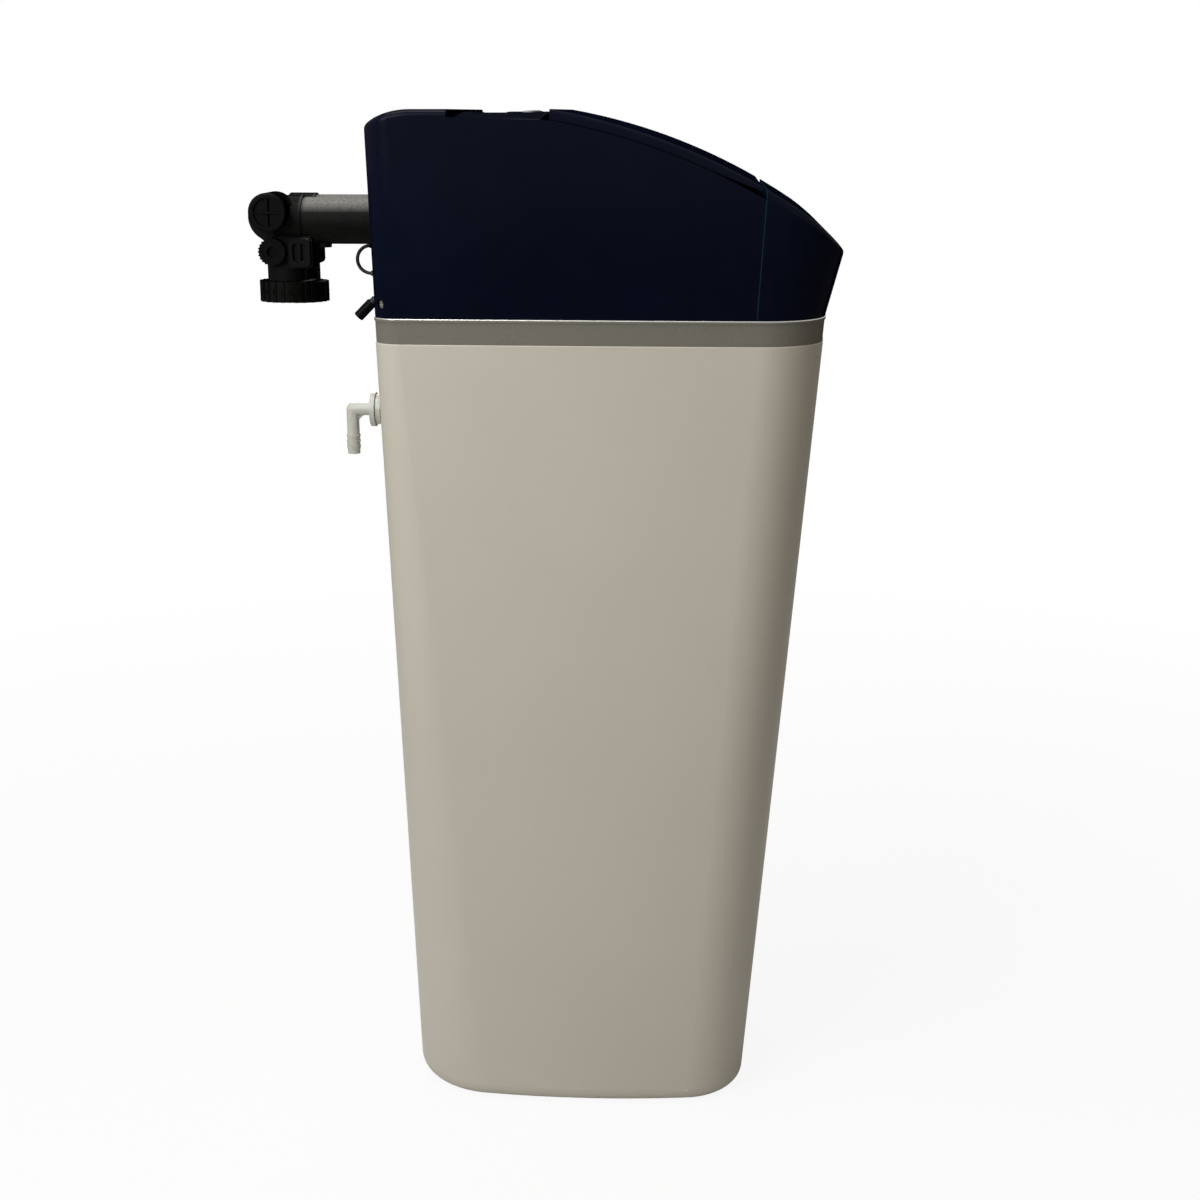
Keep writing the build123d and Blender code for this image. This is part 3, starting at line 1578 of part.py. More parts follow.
with BuildPart() as dc_contacts:
    with BuildSketch(socket_plane(socket_lead_length + socket_length - socket_bore_depth)):
        Circle(socket_bore - running)
        Circle(socket_bore - running - socket_sleeve_wall, mode=Mode.SUBTRACT)
    extrude(amount=socket_bore_depth - socket_rib_width / 2)
    with BuildSketch(socket_plane(socket_lead_length + socket_length - socket_bore_depth)):
        Circle(socket_bore - running)
    extrude(amount=socket_sleeve_wall)
    with BuildSketch(socket_plane(socket_lead_length + socket_length - socket_bore_depth)):
        Circle(socket_pin_radius)
    extrude(amount=socket_bore_depth - socket_rib_width)
finish(dc_contacts.part, "dc_contacts")

# Overflow elbow in the cabinet's rear wall
overflow_wall_y = rear_wall_y(overflow_x, overflow_z)
grommet_outer_y = overflow_wall_y + wall_lean_allowance
grommet_inner_y = overflow_wall_y - cabinet_wall - wall_lean_allowance
elbow_flange_y = grommet_outer_y + grommet_thickness + seat_gap
with BuildPart() as overflow_grommet:
    with BuildSketch(Plane.XZ.offset(-grommet_outer_y)):
        with Locations((overflow_x, overflow_z)):
            Circle(grommet_radius)
    extrude(amount=-grommet_thickness)
    with BuildSketch(Plane.XZ.offset(-grommet_inner_y)):
        with Locations((overflow_x, overflow_z)):
            Circle(grommet_neck_radius)
    extrude(amount=-(grommet_outer_y - grommet_inner_y))
    with BuildSketch(Plane.XZ.offset(-grommet_inner_y)):
        with Locations((overflow_x, overflow_z)):
            Circle(overflow_shaft_radius + running)
    extrude(amount=-(grommet_outer_y - grommet_inner_y + grommet_thickness), mode=Mode.SUBTRACT)
finish(overflow_grommet.part, "overflow_grommet")

nut_rear_y = grommet_inner_y - seat_gap
shaft_front_y = nut_rear_y - overflow_nut_height - overrun
with BuildPart() as overflow_nut:
    with BuildSketch(Plane.XZ.offset(-nut_rear_y)):
        with Locations((overflow_x, overflow_z)):
            RegularPolygon(overflow_nut_radius, 6)
            Circle(overflow_shaft_radius + running, mode=Mode.SUBTRACT)
    extrude(amount=overflow_nut_height)
finish(overflow_nut.part, "overflow_nut")

with BuildPart() as overflow_elbow:
    with BuildSketch(Plane.XZ.offset(-shaft_front_y)):
        with Locations((overflow_x, overflow_z)):
            Circle(overflow_shaft_radius)
    extrude(amount=-(elbow_flange_y - shaft_front_y))
    with BuildSketch(Plane.XZ.offset(-elbow_flange_y)):
        with Locations((overflow_x, overflow_z)):
            Circle(overflow_flange_radius)
    extrude(amount=-overflow_flange_thickness)
    with BuildSketch(Plane.XZ.offset(-elbow_flange_y)):
        with Locations((overflow_x, overflow_z)):
            Circle(overflow_pipe_radius)
    extrude(amount=-(overflow_spout_y - elbow_flange_y))
    with Locations((overflow_x, overflow_spout_y, overflow_z)):
        Sphere(overflow_pipe_radius)
    with BuildSketch(Plane.XY.offset(overflow_spout_bottom)):
        with Locations((overflow_x, overflow_spout_y)):
            Circle(overflow_pipe_radius)
    extrude(amount=overflow_z - overflow_spout_bottom)
    for index in range(barb_count):
        barb_z = overflow_spout_bottom + overflow_tip_length + barb_pitch * index
        with Locations((overflow_x, overflow_spout_y, barb_z + barb_pitch / 2)):
            Cone(overflow_pipe_radius, overflow_pipe_radius + barb_height, barb_pitch)
    with BuildSketch(Plane.YZ.offset(overflow_x - gusset_thickness / 2)):
        with BuildLine():
            Polyline(
                (overflow_spout_y, overflow_z),
                (overflow_spout_y - overflow_pipe_radius - gusset_reach, overflow_z),
                (overflow_spout_y, overflow_z - overflow_pipe_radius - gusset_reach),
                close=True,
            )
        make_face()
    extrude(amount=gusset_thickness)
    with BuildSketch(Plane.XZ.offset(-shaft_front_y)):
        with Locations((overflow_x, overflow_z)):
            Circle(overflow_bore)
    extrude(amount=-(overflow_spout_y - shaft_front_y), mode=Mode.SUBTRACT)
    with BuildSketch(Plane.XY.offset(overflow_spout_bottom)):
        with Locations((overflow_x, overflow_spout_y)):
            Circle(overflow_bore)
    extrude(amount=overflow_z - overflow_spout_bottom, mode=Mode.SUBTRACT)
finish(overflow_elbow.part, "overflow_elbow")

# Brine well with its cap, pick-up tube, safety valve and float
with BuildPart() as brine_well:
    with BuildSketch(Plane.XY.offset(well_foot_z)):
        with Locations((well_x, well_y)):
            Circle(well_radius)
            Circle(well_radius - well_wall, mode=Mode.SUBTRACT)
    extrude(amount=well_top - well_foot_z)
    with BuildSketch(Plane.XY.offset(well_foot_z + well_wall)):
        with Locations((well_x, well_y)):
            with PolarLocations(well_radius, well_slots):
                Rectangle(4 * well_wall, well_slot_width)
    extrude(amount=well_slot_height, mode=Mode.SUBTRACT)
finish(brine_well.part, "brine_well")

pickup_x = well_x + pickup_offset
float_x = well_x + float_offset
with BuildPart() as well_cap:
    with BuildSketch(Plane.XY.offset(well_top - well_cap_skirt)):
        with Locations((well_x, well_y)):
            Circle(well_radius + running + well_wall)
            Circle(well_radius + running, mode=Mode.SUBTRACT)
    extrude(amount=well_cap_skirt)
    with BuildSketch(Plane.XY.offset(well_top)):
        with Locations((well_x, well_y)):
            Circle(well_radius + running + well_wall)
        with Locations((pickup_x, well_y)):
            Circle(brine_tube_radius + running, mode=Mode.SUBTRACT)
        with Locations((float_x, well_y)):
            Circle(float_rod_radius + running, mode=Mode.SUBTRACT)
    extrude(amount=well_cap_thickness)
finish(well_cap.part, "well_cap")

with BuildPart() as brine_tube:
    with BuildLine() as brine_line:
        FilletPolyline(
            (-fitting_x, tank_y, brine_tube_z),
            (pickup_x, tank_y, brine_tube_z),
            (pickup_x, well_y, brine_tube_z),
            (pickup_x, well_y, safety_top),
            radius=brine_bend,
        )
    with BuildSketch(Plane(origin=(-fitting_x, tank_y, brine_tube_z), z_dir=(-1, 0, 0))):
        Circle(brine_tube_radius)
        Circle(brine_tube_bore, mode=Mode.SUBTRACT)
    sweep(path=brine_line.line)
finish(brine_tube.part, "brine_tube")

with BuildPart() as safety_valve:
    with BuildSketch(Plane.XY.offset(well_foot_z)):
        with Locations((pickup_x, well_y)):
            Circle(safety_radius)
    extrude(amount=safety_top - well_foot_z)
    fillet(safety_valve.faces().sort_by(Axis.Z)[0].edges(), radius=well_wall)
finish(safety_valve.part, "safety_valve")

float_low = safety_top + seat_gap
with BuildPart() as float_rod:
    with BuildSketch(Plane.XY.offset(float_low)):
        with Locations((float_x, well_y)):
            Circle(float_radius)
    extrude(amount=float_height)
    fillet(float_rod.edges(), radius=float_round)
    with BuildSketch(Plane.XY.offset(float_low + float_height / 2)):
        with Locations((float_x, well_y)):
            Circle(float_rod_radius)
    extrude(amount=float_rod_top - float_low - float_height / 2)
finish(float_rod.part, "float_rod")

# Salt grid on legs round the tank and the well
grid_form = slab(
    cabinet_outline, grid_z, grid_z + grid_thickness, cabinet_wall + grid_clearance
)
grid_first_x = -grid_hole_pitch * (grid_columns - 1) / 2
grid_holes = [
    (grid_first_x + column * grid_hole_pitch, row * grid_hole_pitch - base_front)
    for column in range(grid_columns)
    for row in range(1, grid_rows + 1)
]


def clear_of(place, centre, radius):
    """Whether a grid hole keeps its distance from a round opening."""
    return math.dist(place, centre) > radius + grid_hole_pitch / 2


with BuildPart() as salt_grid:
    add(grid_form)
    with BuildSketch(Plane.XY.offset(grid_z)):
        with Locations((0, tank_y + rim_rear)):
            Rectangle(2 * far_reach, 2 * rim_rear)
        with Locations((0, tank_y)):
            Circle(boot_radius + grid_clearance)
        with Locations((well_x, well_y)):
            Circle(well_radius + slack)
        for place in grid_holes:
            clear_of_well = clear_of(place, (well_x, well_y), well_radius)
            if clear_of_well and clear_of(place, (0, tank_y), boot_radius):
                with Locations(place):
                    Circle(grid_hole_radius)
    extrude(amount=grid_thickness, mode=Mode.SUBTRACT)
    for x_share, y_share in zip(grid_leg_x_shares, grid_leg_y_shares):
        with BuildSketch(Plane.XY.offset(cabinet_floor)):
            with Locations((base_half_width * x_share, base_front * y_share)):
                Circle(grid_leg_radius)
        extrude(amount=grid_z - cabinet_floor + grid_thickness / 2)
finish(salt_grid.part, "salt_grid")

# Salt chute under the lid, standing on the band
chute_mid_y = (chute_rear_y + chute_front_y) / 2
with BuildPart() as salt_chute:
    with BuildSketch(Plane.YZ):
        with BuildLine():
            Polyline(
                (chute_rear_top_y, chute_rear_top_z + chute_shelf_thickness),
                (chute_rear_top_y, chute_rear_top_z),
                (chute_rear_y, chute_shelf_z),
                (chute_rear_y, cover_bottom),
                (chute_front_y, cover_bottom),
                (chute_front_y, chute_front_top_z),
                close=True,
            )
        make_face()
    extrude(amount=chute_half_width, both=True)
    with BuildSketch(Plane.YZ):
        with BuildLine():
            Polyline(
                (chute_rear_top_y, cover_high),
                (chute_rear_top_y, chute_rear_top_z + chute_shelf_thickness),
                (chute_rear_y - chute_wall, chute_shelf_z + chute_shelf_thickness),
                (chute_rear_y - chute_wall, cover_bottom - overrun),
                (chute_front_y + chute_wall, cover_bottom - overrun),
                (chute_front_y + chute_wall, cover_high),
                close=True,
            )
        make_face()
    extrude(amount=chute_half_width - chute_wall, both=True, mode=Mode.SUBTRACT)
    with BuildSketch(Plane.XY.offset(cover_bottom)):
        with Locations((0, chute_mid_y - chute_flange_front / 2)):
            Rectangle(
                2 * (chute_half_width + chute_flange),
                chute_rear_y - chute_front_y + chute_flange_front,
            )
        with Locations((0, chute_mid_y)):
            Rectangle(
                2 * (chute_half_width - chute_wall),
                chute_rear_y - chute_front_y - 2 * chute_wall,
                mode=Mode.SUBTRACT,
            )
    extrude(amount=chute_flange_thickness)
finish(salt_chute.part, "salt_chute")
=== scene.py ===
import json
import math

import bpy
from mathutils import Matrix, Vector


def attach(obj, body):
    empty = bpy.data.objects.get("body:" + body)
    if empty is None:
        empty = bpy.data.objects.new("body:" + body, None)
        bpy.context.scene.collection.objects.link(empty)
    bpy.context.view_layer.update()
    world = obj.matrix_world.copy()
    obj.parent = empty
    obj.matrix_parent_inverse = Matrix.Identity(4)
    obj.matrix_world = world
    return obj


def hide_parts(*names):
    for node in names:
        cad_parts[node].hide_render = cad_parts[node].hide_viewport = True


# Water softener: finishes, meter cable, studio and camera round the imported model.
# Metres, +Z up, the front towards -Y. Colours are linear.
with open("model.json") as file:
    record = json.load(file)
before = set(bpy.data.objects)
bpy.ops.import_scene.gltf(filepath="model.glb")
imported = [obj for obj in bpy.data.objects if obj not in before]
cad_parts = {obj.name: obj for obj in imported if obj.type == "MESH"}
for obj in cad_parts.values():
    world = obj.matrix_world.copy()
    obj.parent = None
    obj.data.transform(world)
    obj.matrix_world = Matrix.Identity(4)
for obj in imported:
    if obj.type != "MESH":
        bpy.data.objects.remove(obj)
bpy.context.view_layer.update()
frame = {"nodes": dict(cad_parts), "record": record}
nodes = frame["nodes"]
slot_of = {row["node"]: row["material_slot"] for row in frame["record"]["subparts"]}

# Camera, as the photograph was taken
CAMERA_PLACE = Vector((-2.060, -0.111, 1.135))
CAMERA_PITCH = math.radians(15.13)
CAMERA_YAW = math.radians(3.4)
CAMERA_LENS = 54.0
CAMERA_SENSOR = 36.0
CAMERA_REACH = 200.0

# Floor: how much of its own white it shows to the camera, near the object and far from it
WHITE = (1.0, 1.0, 1.0, 1.0)
FLOOR_SIZE = 60.0
FLOOR_COLOUR = (0.72, 0.72, 0.72, 1.0)
FLOOR_GLOW_NEAR = 0.91
FLOOR_GLOW_FAR = 1.0
FLOOR_FADE_START = 0.8
FLOOR_FADE_END = 2.4

# Light: the world's fill, and the lamps with their place, width, height and power
FILL_TINT = (1.0, 0.88, 0.7, 1.0)
FILL_STRENGTH = 0.18
LAMP_TARGET = Vector((0.0, 0.0, 0.75))
LAMPS = (
    ("side_lamp", Vector((-1.75, 1.15, 1.9)), 1.2, 1.6, 43.0),
    ("top_lamp", Vector((-0.3, 0.6, 3.0)), 1.0, 1.0, 26.0),
    ("far_lamp", Vector((2.0, 0.3, 1.7)), 1.4, 1.6, 20.0),
)

# Seam between cover and nose: place in depth at the floor, lean, and the width of its painted edge
# highlight
SEAM_PLACE = -0.10765
SEAM_LEAN = 0.0594
SEAM_WIDTH = 0.00035

# Polished lip of the trim band, its pale colour partly a painted highlight: the heights where it
# begins and where it is full
LIP_START = 0.9236
LIP_FULL = 0.924

# Painted top light on the tubes, a pale mottle: how far the surface looks up where it begins and
# where it is full, and the places in depth up to which it is full and from which it is gone
TOP_LIGHT_UP_START = 0.38
TOP_LIGHT_UP_FULL = 0.8
TOP_LIGHT_FULL = 0.334
TOP_LIGHT_GONE = 0.342

# Gloss at a flat angle: where it begins to fade and where it is gone
FLAT_ANGLE_BLEND = 0.5
GLOSS_FADE_START = 0.25
GLOSS_FADE_END = 0.72

# Winding bands of the tank
WINDING_TILT = 0.5
WINDING_SCALE = 24.0
WINDING_DISTORTION = 1.2
WINDING_DETAIL = 3.0

# Grained black plastics: material name, colour, least and most roughness, gloss, grain's depth
GRAINED_PLASTICS = {
    "pipe_plastic": ("pipe_grained", (0.0026, 0.0026, 0.0024), 0.38, 0.62, 0.05, 0.0007),
    "knob_plastic": ("knob_satin", (0.0019, 0.0019, 0.0019), 0.28, 0.4, 0.04, 0.00012),
    "valve_plastic": ("valve_grained", (0.012, 0.012, 0.012), 0.4, 0.6, 0.2, 0.0004),
    "chute_plastic": ("chute_grained", (0.014, 0.014, 0.016), 0.45, 0.6, 0.2, 0.0003),
    "boot_plastic": ("boot_grained", (0.02, 0.02, 0.02), 0.5, 0.65, 0.2, 0.0004),
    "panel_plastic": ("panel_satin", (0.004, 0.005, 0.009), 0.3, 0.42, 0.05, 0.0001),
}

# Pale plastics: material name, colour, roughness, share of the light that goes under the skin
PALE_ROUGHNESS_SPREAD = 0.06
PALE_PLASTICS = {
    "grommet_white": ("elbow_white", (0.455, 0.46, 0.413), 0.38, 0.12),
    "white_plastic": ("natural_white", (0.7, 0.7, 0.66), 0.42, 0.0),
    "well_plastic": ("well_white", (0.66, 0.67, 0.65), 0.5, 0.0),
    "gear_white": ("gear_natural", (0.72, 0.7, 0.62), 0.45, 0.0),
    "button_grey": ("button_satin_grey", (0.3, 0.31, 0.33), 0.4, 0.0),
}

# Metals: material name, colour, least and most roughness, fineness of the lay along each axis
METALS = {
    "screw_chrome": ("screw_plated", (0.78, 0.78, 0.79), 0.12, 0.24, (900.0, 900.0, 900.0)),
    "pin_steel": ("pin_drawn", (0.56, 0.56, 0.57), 0.25, 0.4, (60.0, 2500.0, 2500.0)),
    "motor_steel": ("motor_plated", (0.6, 0.6, 0.6), 0.25, 0.4, (1800.0, 60.0, 1800.0)),
    "gear_brass": ("pinion_brass", (0.74, 0.52, 0.2), 0.22, 0.35, (1800.0, 60.0, 1800.0)),
    "contact_brass": (
        "contact_plated", (0.8, 0.79, 0.76), 0.15, 0.25, (1200.0, 1200.0, 1200.0)
    ),
}

# Meter cable: its route has the same points as the model's
CABLE_RADIUS = 0.002
CABLE_ROUNDNESS = 8
CABLE_STEPS = 16
CABLE_ROUTE = [
    (0.0, 0.2725, 0.9590),
    (0.0, 0.2776, 0.9590),
    (0.0, 0.2857, 0.9649),
    (0.0, 0.2888, 0.9745),
    (0.0, 0.2857, 0.9841),
    (0.0, 0.2776, 0.9900),
    (0.0, 0.2725, 0.9900),
]


# Node helpers
def add_node(tree, kind, inputs, **settings):
    """A new node; each of its inputs takes a socket or a plain value."""
    node = tree.nodes.new(kind)
    for name, value in settings.items():
        setattr(node, name, value)
    for key, value in inputs.items():
        if isinstance(value, bpy.types.NodeSocket):
            tree.links.new(value, node.inputs[key])
        else:
            node.inputs[key].default_value = value
    return node


def calculated(tree, operation, *terms):
    """Outcome of one step of arithmetic; each term is a socket or a number."""
    node = add_node(tree, "ShaderNodeMath", dict(enumerate(terms)), operation=operation)
    return node.outputs["Value"]


def shaded(colour, share):
    """A colour made lighter or darker by a share."""
    return tuple(channel * share for channel in colour)


class Finish:
    """One material under construction, in the object's own coordinates."""

    def __init__(self, name):
        self.material = bpy.data.materials.new(name)
        self.material.use_nodes = True
        self.tree = self.material.node_tree
        self.shader = self.tree.nodes["Principled BSDF"]
        self.place = self.add("ShaderNodeTexCoord", {}).outputs["Object"]

    def add(self, kind, inputs, **settings):
        return add_node(self.tree, kind, inputs, **settings)

    def shade(self, **inputs):
        """Inputs of the main shader; each takes a socket or a plain value."""
        for key, value in inputs.items():
            socket = self.shader.inputs[key.replace("_", " ")]
            if isinstance(value, bpy.types.NodeSocket):
                self.tree.links.new(value, socket)
            else:
                socket.default_value = value

    def noise(self, scale, detail=3.0, roughness=0.5, vector=None):
        return self.add("ShaderNodeTexNoise", {
            "Vector": vector or self.place,
            "Scale": scale,
            "Detail": detail,
            "Roughness": roughness,
        }).outputs["Fac"]

    def cells(self, scale):
        inputs = {"Vector": self.place, "Scale": scale}
        return self.add("ShaderNodeTexVoronoi", inputs).outputs["Distance"]

    def winding(self, tilt):
        """Bands that run round the object, tilted by an angle."""
        turned = self.add(
            "ShaderNodeMapping", {"Vector": self.place, "Rotation": (0.0, tilt, 0.0)}
        ).outputs["Vector"]
        return self.add("ShaderNodeTexWave", {
            "Vector": turned,
            "Scale": WINDING_SCALE,
            "Distortion": WINDING_DISTORTION,
            "Detail": WINDING_DETAIL,
        }, bands_direction="Z").outputs["Fac"]

    def between(self, factor, low, high, start=0.3, end=0.7):
        """Colour that runs from low to high as the factor runs from start to end."""
        node = self.add("ShaderNodeValToRGB", {"Fac": factor})
        first, last = node.color_ramp.elements
        first.position, last.position = start, end
        first.color, last.color = (*low, 1.0), (*high, 1.0)
        return node.outputs["Color"]

    def level(self, factor, low, high, start=0.3, end=0.7):
        """Number that runs from low to high as the factor runs from start to end."""
        return self.add("ShaderNodeMapRange", {
            "Value": factor,
            "From Min": start,
            "From Max": end,
            "To Min": low,
            "To Max": high,
        }).outputs["Result"]

    def mixed(self, factor, first, second, way="MIX"):
        """Two colours mixed by a factor; each is a socket or a plain value."""
        inputs = {"Factor": factor, "A": first, "B": second}
        node = self.add("ShaderNodeMix", inputs, data_type="RGBA", blend_type=way)
        return node.outputs["Result"]

    def along(self, axis):
        """Place along one axis of the object."""
        return self.add("ShaderNodeSeparateXYZ", {"Vector": self.place}).outputs[axis]

    def upward(self):
        """How far the surface looks up."""
        facing = self.add("ShaderNodeTexCoord", {}).outputs["Normal"]
        return self.add("ShaderNodeSeparateXYZ", {"Vector": facing}).outputs["Z"]

    def quiet_gloss(self, specular):
        """Gloss that fades at a flat angle; the plain value is what the export keeps."""
        facing = self.add("ShaderNodeLayerWeight", {"Blend": FLAT_ANGLE_BLEND}).outputs["Facing"]
        strength = self.level(facing, specular, 0.0, GLOSS_FADE_START, GLOSS_FADE_END)
        self.shade(Specular_IOR_Level=specular)
        self.shade(Specular_IOR_Level=strength)

    def relief(self, *layers):
        """Bump layers, each a height socket with its strength and its depth in metres."""
        normal = {}
        for height, strength, depth in layers:
            inputs = {"Height": height, "Strength": strength, "Distance": depth, **normal}
            normal = {"Normal": self.add("ShaderNodeBump", inputs).outputs["Normal"]}
        self.shade(**normal)


# Finishes of the casing
def cabinet_plastic():
    """Satin moulded plastic, warm beige grey, with a fine orange peel and rare specks."""
    finish = Finish("cabinet_satin")
    beige = (0.482, 0.456, 0.391)
    body = finish.between(finish.noise(3.0, detail=4.0), shaded(beige, 0.965), shaded(beige, 1.02))
    fleck = finish.between(
        finish.cells(55.0), shaded(beige, 0.72), (1.0, 1.0, 1.0), start=0.028, end=0.04
    )
    finish.shade(
        Base_Color=finish.mixed(0.6, body, fleck, "DARKEN"),
        Roughness=finish.level(finish.noise(14.0), 0.36, 0.46),
        Specular_IOR_Level=0.42,
    )
    finish.relief(
        (finish.noise(900.0, detail=2.0), 0.25, 0.00006),
        (finish.noise(26.0, detail=2.0), 0.12, 0.0003),
    )
    return finish.material


def trim_metallic():
    """Metallic lacquer with fine flakes; the lip along its top edge is polished, and its pale
    colour is partly a painted highlight.
    """
    finish = Finish("trim_lacquer")
    taupe = (0.15, 0.144, 0.122)
    flake = finish.noise(1500.0, detail=2.0)
    body = finish.between(flake, shaded(taupe, 0.8), shaded(taupe, 1.25))
    # Partly painted highlight: the lip's pale colour stands in for light catching its top edge,
    # beside its real polish.
    lip_highlight = finish.between(flake, (0.5, 0.49, 0.46), (0.62, 0.61, 0.58))
    lip = finish.level(finish.along("Z"), 0.0, 1.0, LIP_START, LIP_FULL)
    finish.shade(
        Base_Color=finish.mixed(lip, body, lip_highlight),
        Metallic=finish.level(lip, 0.04, 0.8, start=0.0, end=1.0),
        Roughness=finish.level(lip, 0.45, 0.25, start=0.0, end=1.0),
    )
    finish.quiet_gloss(0.12)
    finish.relief((flake, 0.08, 0.00003), (finish.noise(20.0, detail=2.0), 0.1, 0.0002))
    return finish.material


def cover_gloss():
    """Gloss moulded plastic, very dark navy, with a faint orange peel and a painted highlight
    along the seam edge.
    """
    finish = Finish("cover_navy_gloss")
    navy = (0.0022, 0.0034, 0.0095)
    # Painted highlight: a pale blue line along the seam edge stands in for a glint.
    painted_seam_glint = (0.007, 0.022, 0.04, 1.0)
    body = finish.between(finish.noise(4.0, detail=4.0), shaded(navy, 0.85), shaded(navy, 1.2))
    ahead = calculated(finish.tree, "MULTIPLY_ADD", finish.along("Y"), 1.0, -SEAM_PLACE)
    ahead = calculated(finish.tree, "MULTIPLY_ADD", finish.along("Z"), SEAM_LEAN, ahead)
    distance = calculated(finish.tree, "ABSOLUTE", ahead)
    near_seam = finish.level(distance, 1.0, 0.0, SEAM_WIDTH, 2 * SEAM_WIDTH)
    finish.shade(
        Base_Color=finish.mixed(near_seam, body, painted_seam_glint),
        Roughness=finish.level(finish.noise(30.0, detail=6.0), 0.1, 0.2),
    )
    finish.quiet_gloss(0.035)
    finish.relief(
        (finish.noise(85.0, detail=1.0), 0.06, 0.00012),
        (finish.noise(9.0, detail=1.0), 0.12, 0.0006),
    )
    return finish.material


# Finishes of the plumbing side
def grained_plastic(name, black, low_rough, high_rough, specular, depth, painted_top_light=False):
    """Black glass-filled plastic with a grained skin."""
    finish = Finish(name)
    grain = finish.noise(650.0, detail=8.0, roughness=0.62)
    patch = finish.noise(60.0, detail=5.0)
    skin = finish.between(patch, shaded(black, 0.75), shaded(black, 1.5))
    finish.shade(
        # On the pipes, painted top light is mixed into the skin.
        Base_Color=with_painted_top_light(finish, skin) if painted_top_light else skin,
        Roughness=finish.level(grain, low_rough, high_rough),
    )
    finish.quiet_gloss(specular)
    finish.relief((grain, 0.55, depth), (patch, 0.3, depth))
    return finish.material


def with_painted_top_light(finish, skin):
    """A skin with mottled painted light on top of the tubes behind the cover."""
    mottle = finish.noise(420.0, detail=6.0, roughness=0.7)
    # Painted light: pale grey on the upward faces of the tubes stands in for light from above.
    painted_top_light = finish.between(mottle, (0.1, 0.1, 0.094), (0.24, 0.235, 0.22))
    on_top = finish.level(finish.upward(), 0.0, 1.0, TOP_LIGHT_UP_START, TOP_LIGHT_UP_FULL)
    on_tubes = finish.level(finish.along("Y"), 1.0, 0.0, TOP_LIGHT_FULL, TOP_LIGHT_GONE)
    return finish.mixed(calculated(finish.tree, "MULTIPLY", on_top, on_tubes), skin, painted_top_light)


def cable_black():
    """Soft black sheath, slightly dusty."""
    finish = Finish("cable_sheath")
    dust = finish.noise(220.0, detail=5.0)
    finish.shade(
        Base_Color=finish.between(dust, (0.006, 0.006, 0.006), (0.018, 0.018, 0.017)),
        Roughness=finish.level(dust, 0.32, 0.5),
        Specular_IOR_Level=0.3,
    )
    finish.relief((finish.noise(900.0), 0.2, 0.00008))
    return finish.material


def washer_rubber():
    """Matt black rubber with a trace of chalk."""
    finish = Finish("washer_rubber_matte")
    chalk = finish.noise(400.0, detail=6.0)
    finish.shade(
        Base_Color=finish.between(chalk, (0.012, 0.012, 0.012), (0.035, 0.034, 0.033)),
        Roughness=finish.level(chalk, 0.6, 0.85),
    )
    finish.relief((chalk, 0.3, 0.0001))
    return finish.material


def pale_plastic(name, pale, rough, under_skin):
    """Moulded pale plastic with a faint flow pattern."""
    finish = Finish(name)
    flow = finish.noise(35.0, detail=4.0)
    smoothest, roughest = rough - PALE_ROUGHNESS_SPREAD, rough + PALE_ROUGHNESS_SPREAD
    finish.shade(
        Base_Color=finish.between(flow, shaded(pale, 0.93), shaded(pale, 1.03)),
        Roughness=finish.level(finish.noise(160.0), smoothest, roughest),
        Specular_IOR_Level=0.45,
        Subsurface_Weight=under_skin,
        Subsurface_Scale=0.004,
    )
    finish.relief((finish.noise(700.0), 0.2, 0.00006), (flow, 0.25, 0.00012))
    return finish.material


def brine_tube_clear():
    """Milky soft tube that lets some light through."""
    finish = Finish("brine_tube_milky")
    flow = finish.noise(60.0, detail=3.0)
    finish.shade(
        Base_Color=finish.between(flow, (0.6, 0.63, 0.63), (0.72, 0.74, 0.74)),
        Roughness=finish.level(flow, 0.2, 0.32),
        Transmission_Weight=0.25,
        Subsurface_Weight=0.2,
        Subsurface_Scale=0.003,
    )
    finish.relief((finish.noise(500.0), 0.15, 0.00005))
    return finish.material


# Finishes of the inner pieces
def tank_fibre():
    """Fibre-wound pressure tank: crossed winding bands under a clear coat."""
    finish = Finish("tank_winding")
    cream = (0.5, 0.47, 0.38)
    bands = [finish.winding(tilt) for tilt in (WINDING_TILT, -WINDING_TILT)]
    tints = [finish.between(band, shaded(cream, 0.8), shaded(cream, 1.1)) for band in bands]
    finish.shade(
        Base_Color=finish.mixed(finish.noise(9.0), *tints),
        Roughness=finish.level(finish.noise(80.0), 0.3, 0.5),
    )
    finish.relief(*((band, 0.3, 0.0004) for band in bands))
    return finish.material


def resin_amber():
    """Amber resin beads."""
    finish = Finish("resin_beads")
    bead = finish.cells(900.0)
    # Painted shade: each bead is darker towards its edge, standing in for shade between the beads.
    finish.shade(
        Base_Color=finish.between(
            bead, (0.42, 0.2, 0.045), (0.16, 0.07, 0.015), start=0.1, end=0.8
        ),
        Roughness=0.35,
        Specular_IOR_Level=0.5,
    )
    finish.relief((bead, 0.9, 0.0007))
    return finish.material


def board_green():
    """Green lacquer of a circuit board."""
    finish = Finish("board_lacquer")
    cell = finish.cells(260.0)
    finish.shade(
        Base_Color=finish.between(
            cell, (0.02, 0.16, 0.06), (0.012, 0.1, 0.04), start=0.2, end=0.6
        ),
        Roughness=finish.level(cell, 0.25, 0.4),
    )
    finish.relief((cell, 0.3, 0.0001))
    return finish.material


def display_dark():
    """Dark face of a display that is off."""
    finish = Finish("display_face")
    wash = finish.noise(18.0)
    finish.shade(
        Base_Color=finish.between(wash, (0.01, 0.016, 0.016), (0.02, 0.03, 0.028)),
        Roughness=finish.level(wash, 0.25, 0.35),
    )
    finish.relief((finish.noise(1200.0), 0.05, 0.00002))
    return finish.material


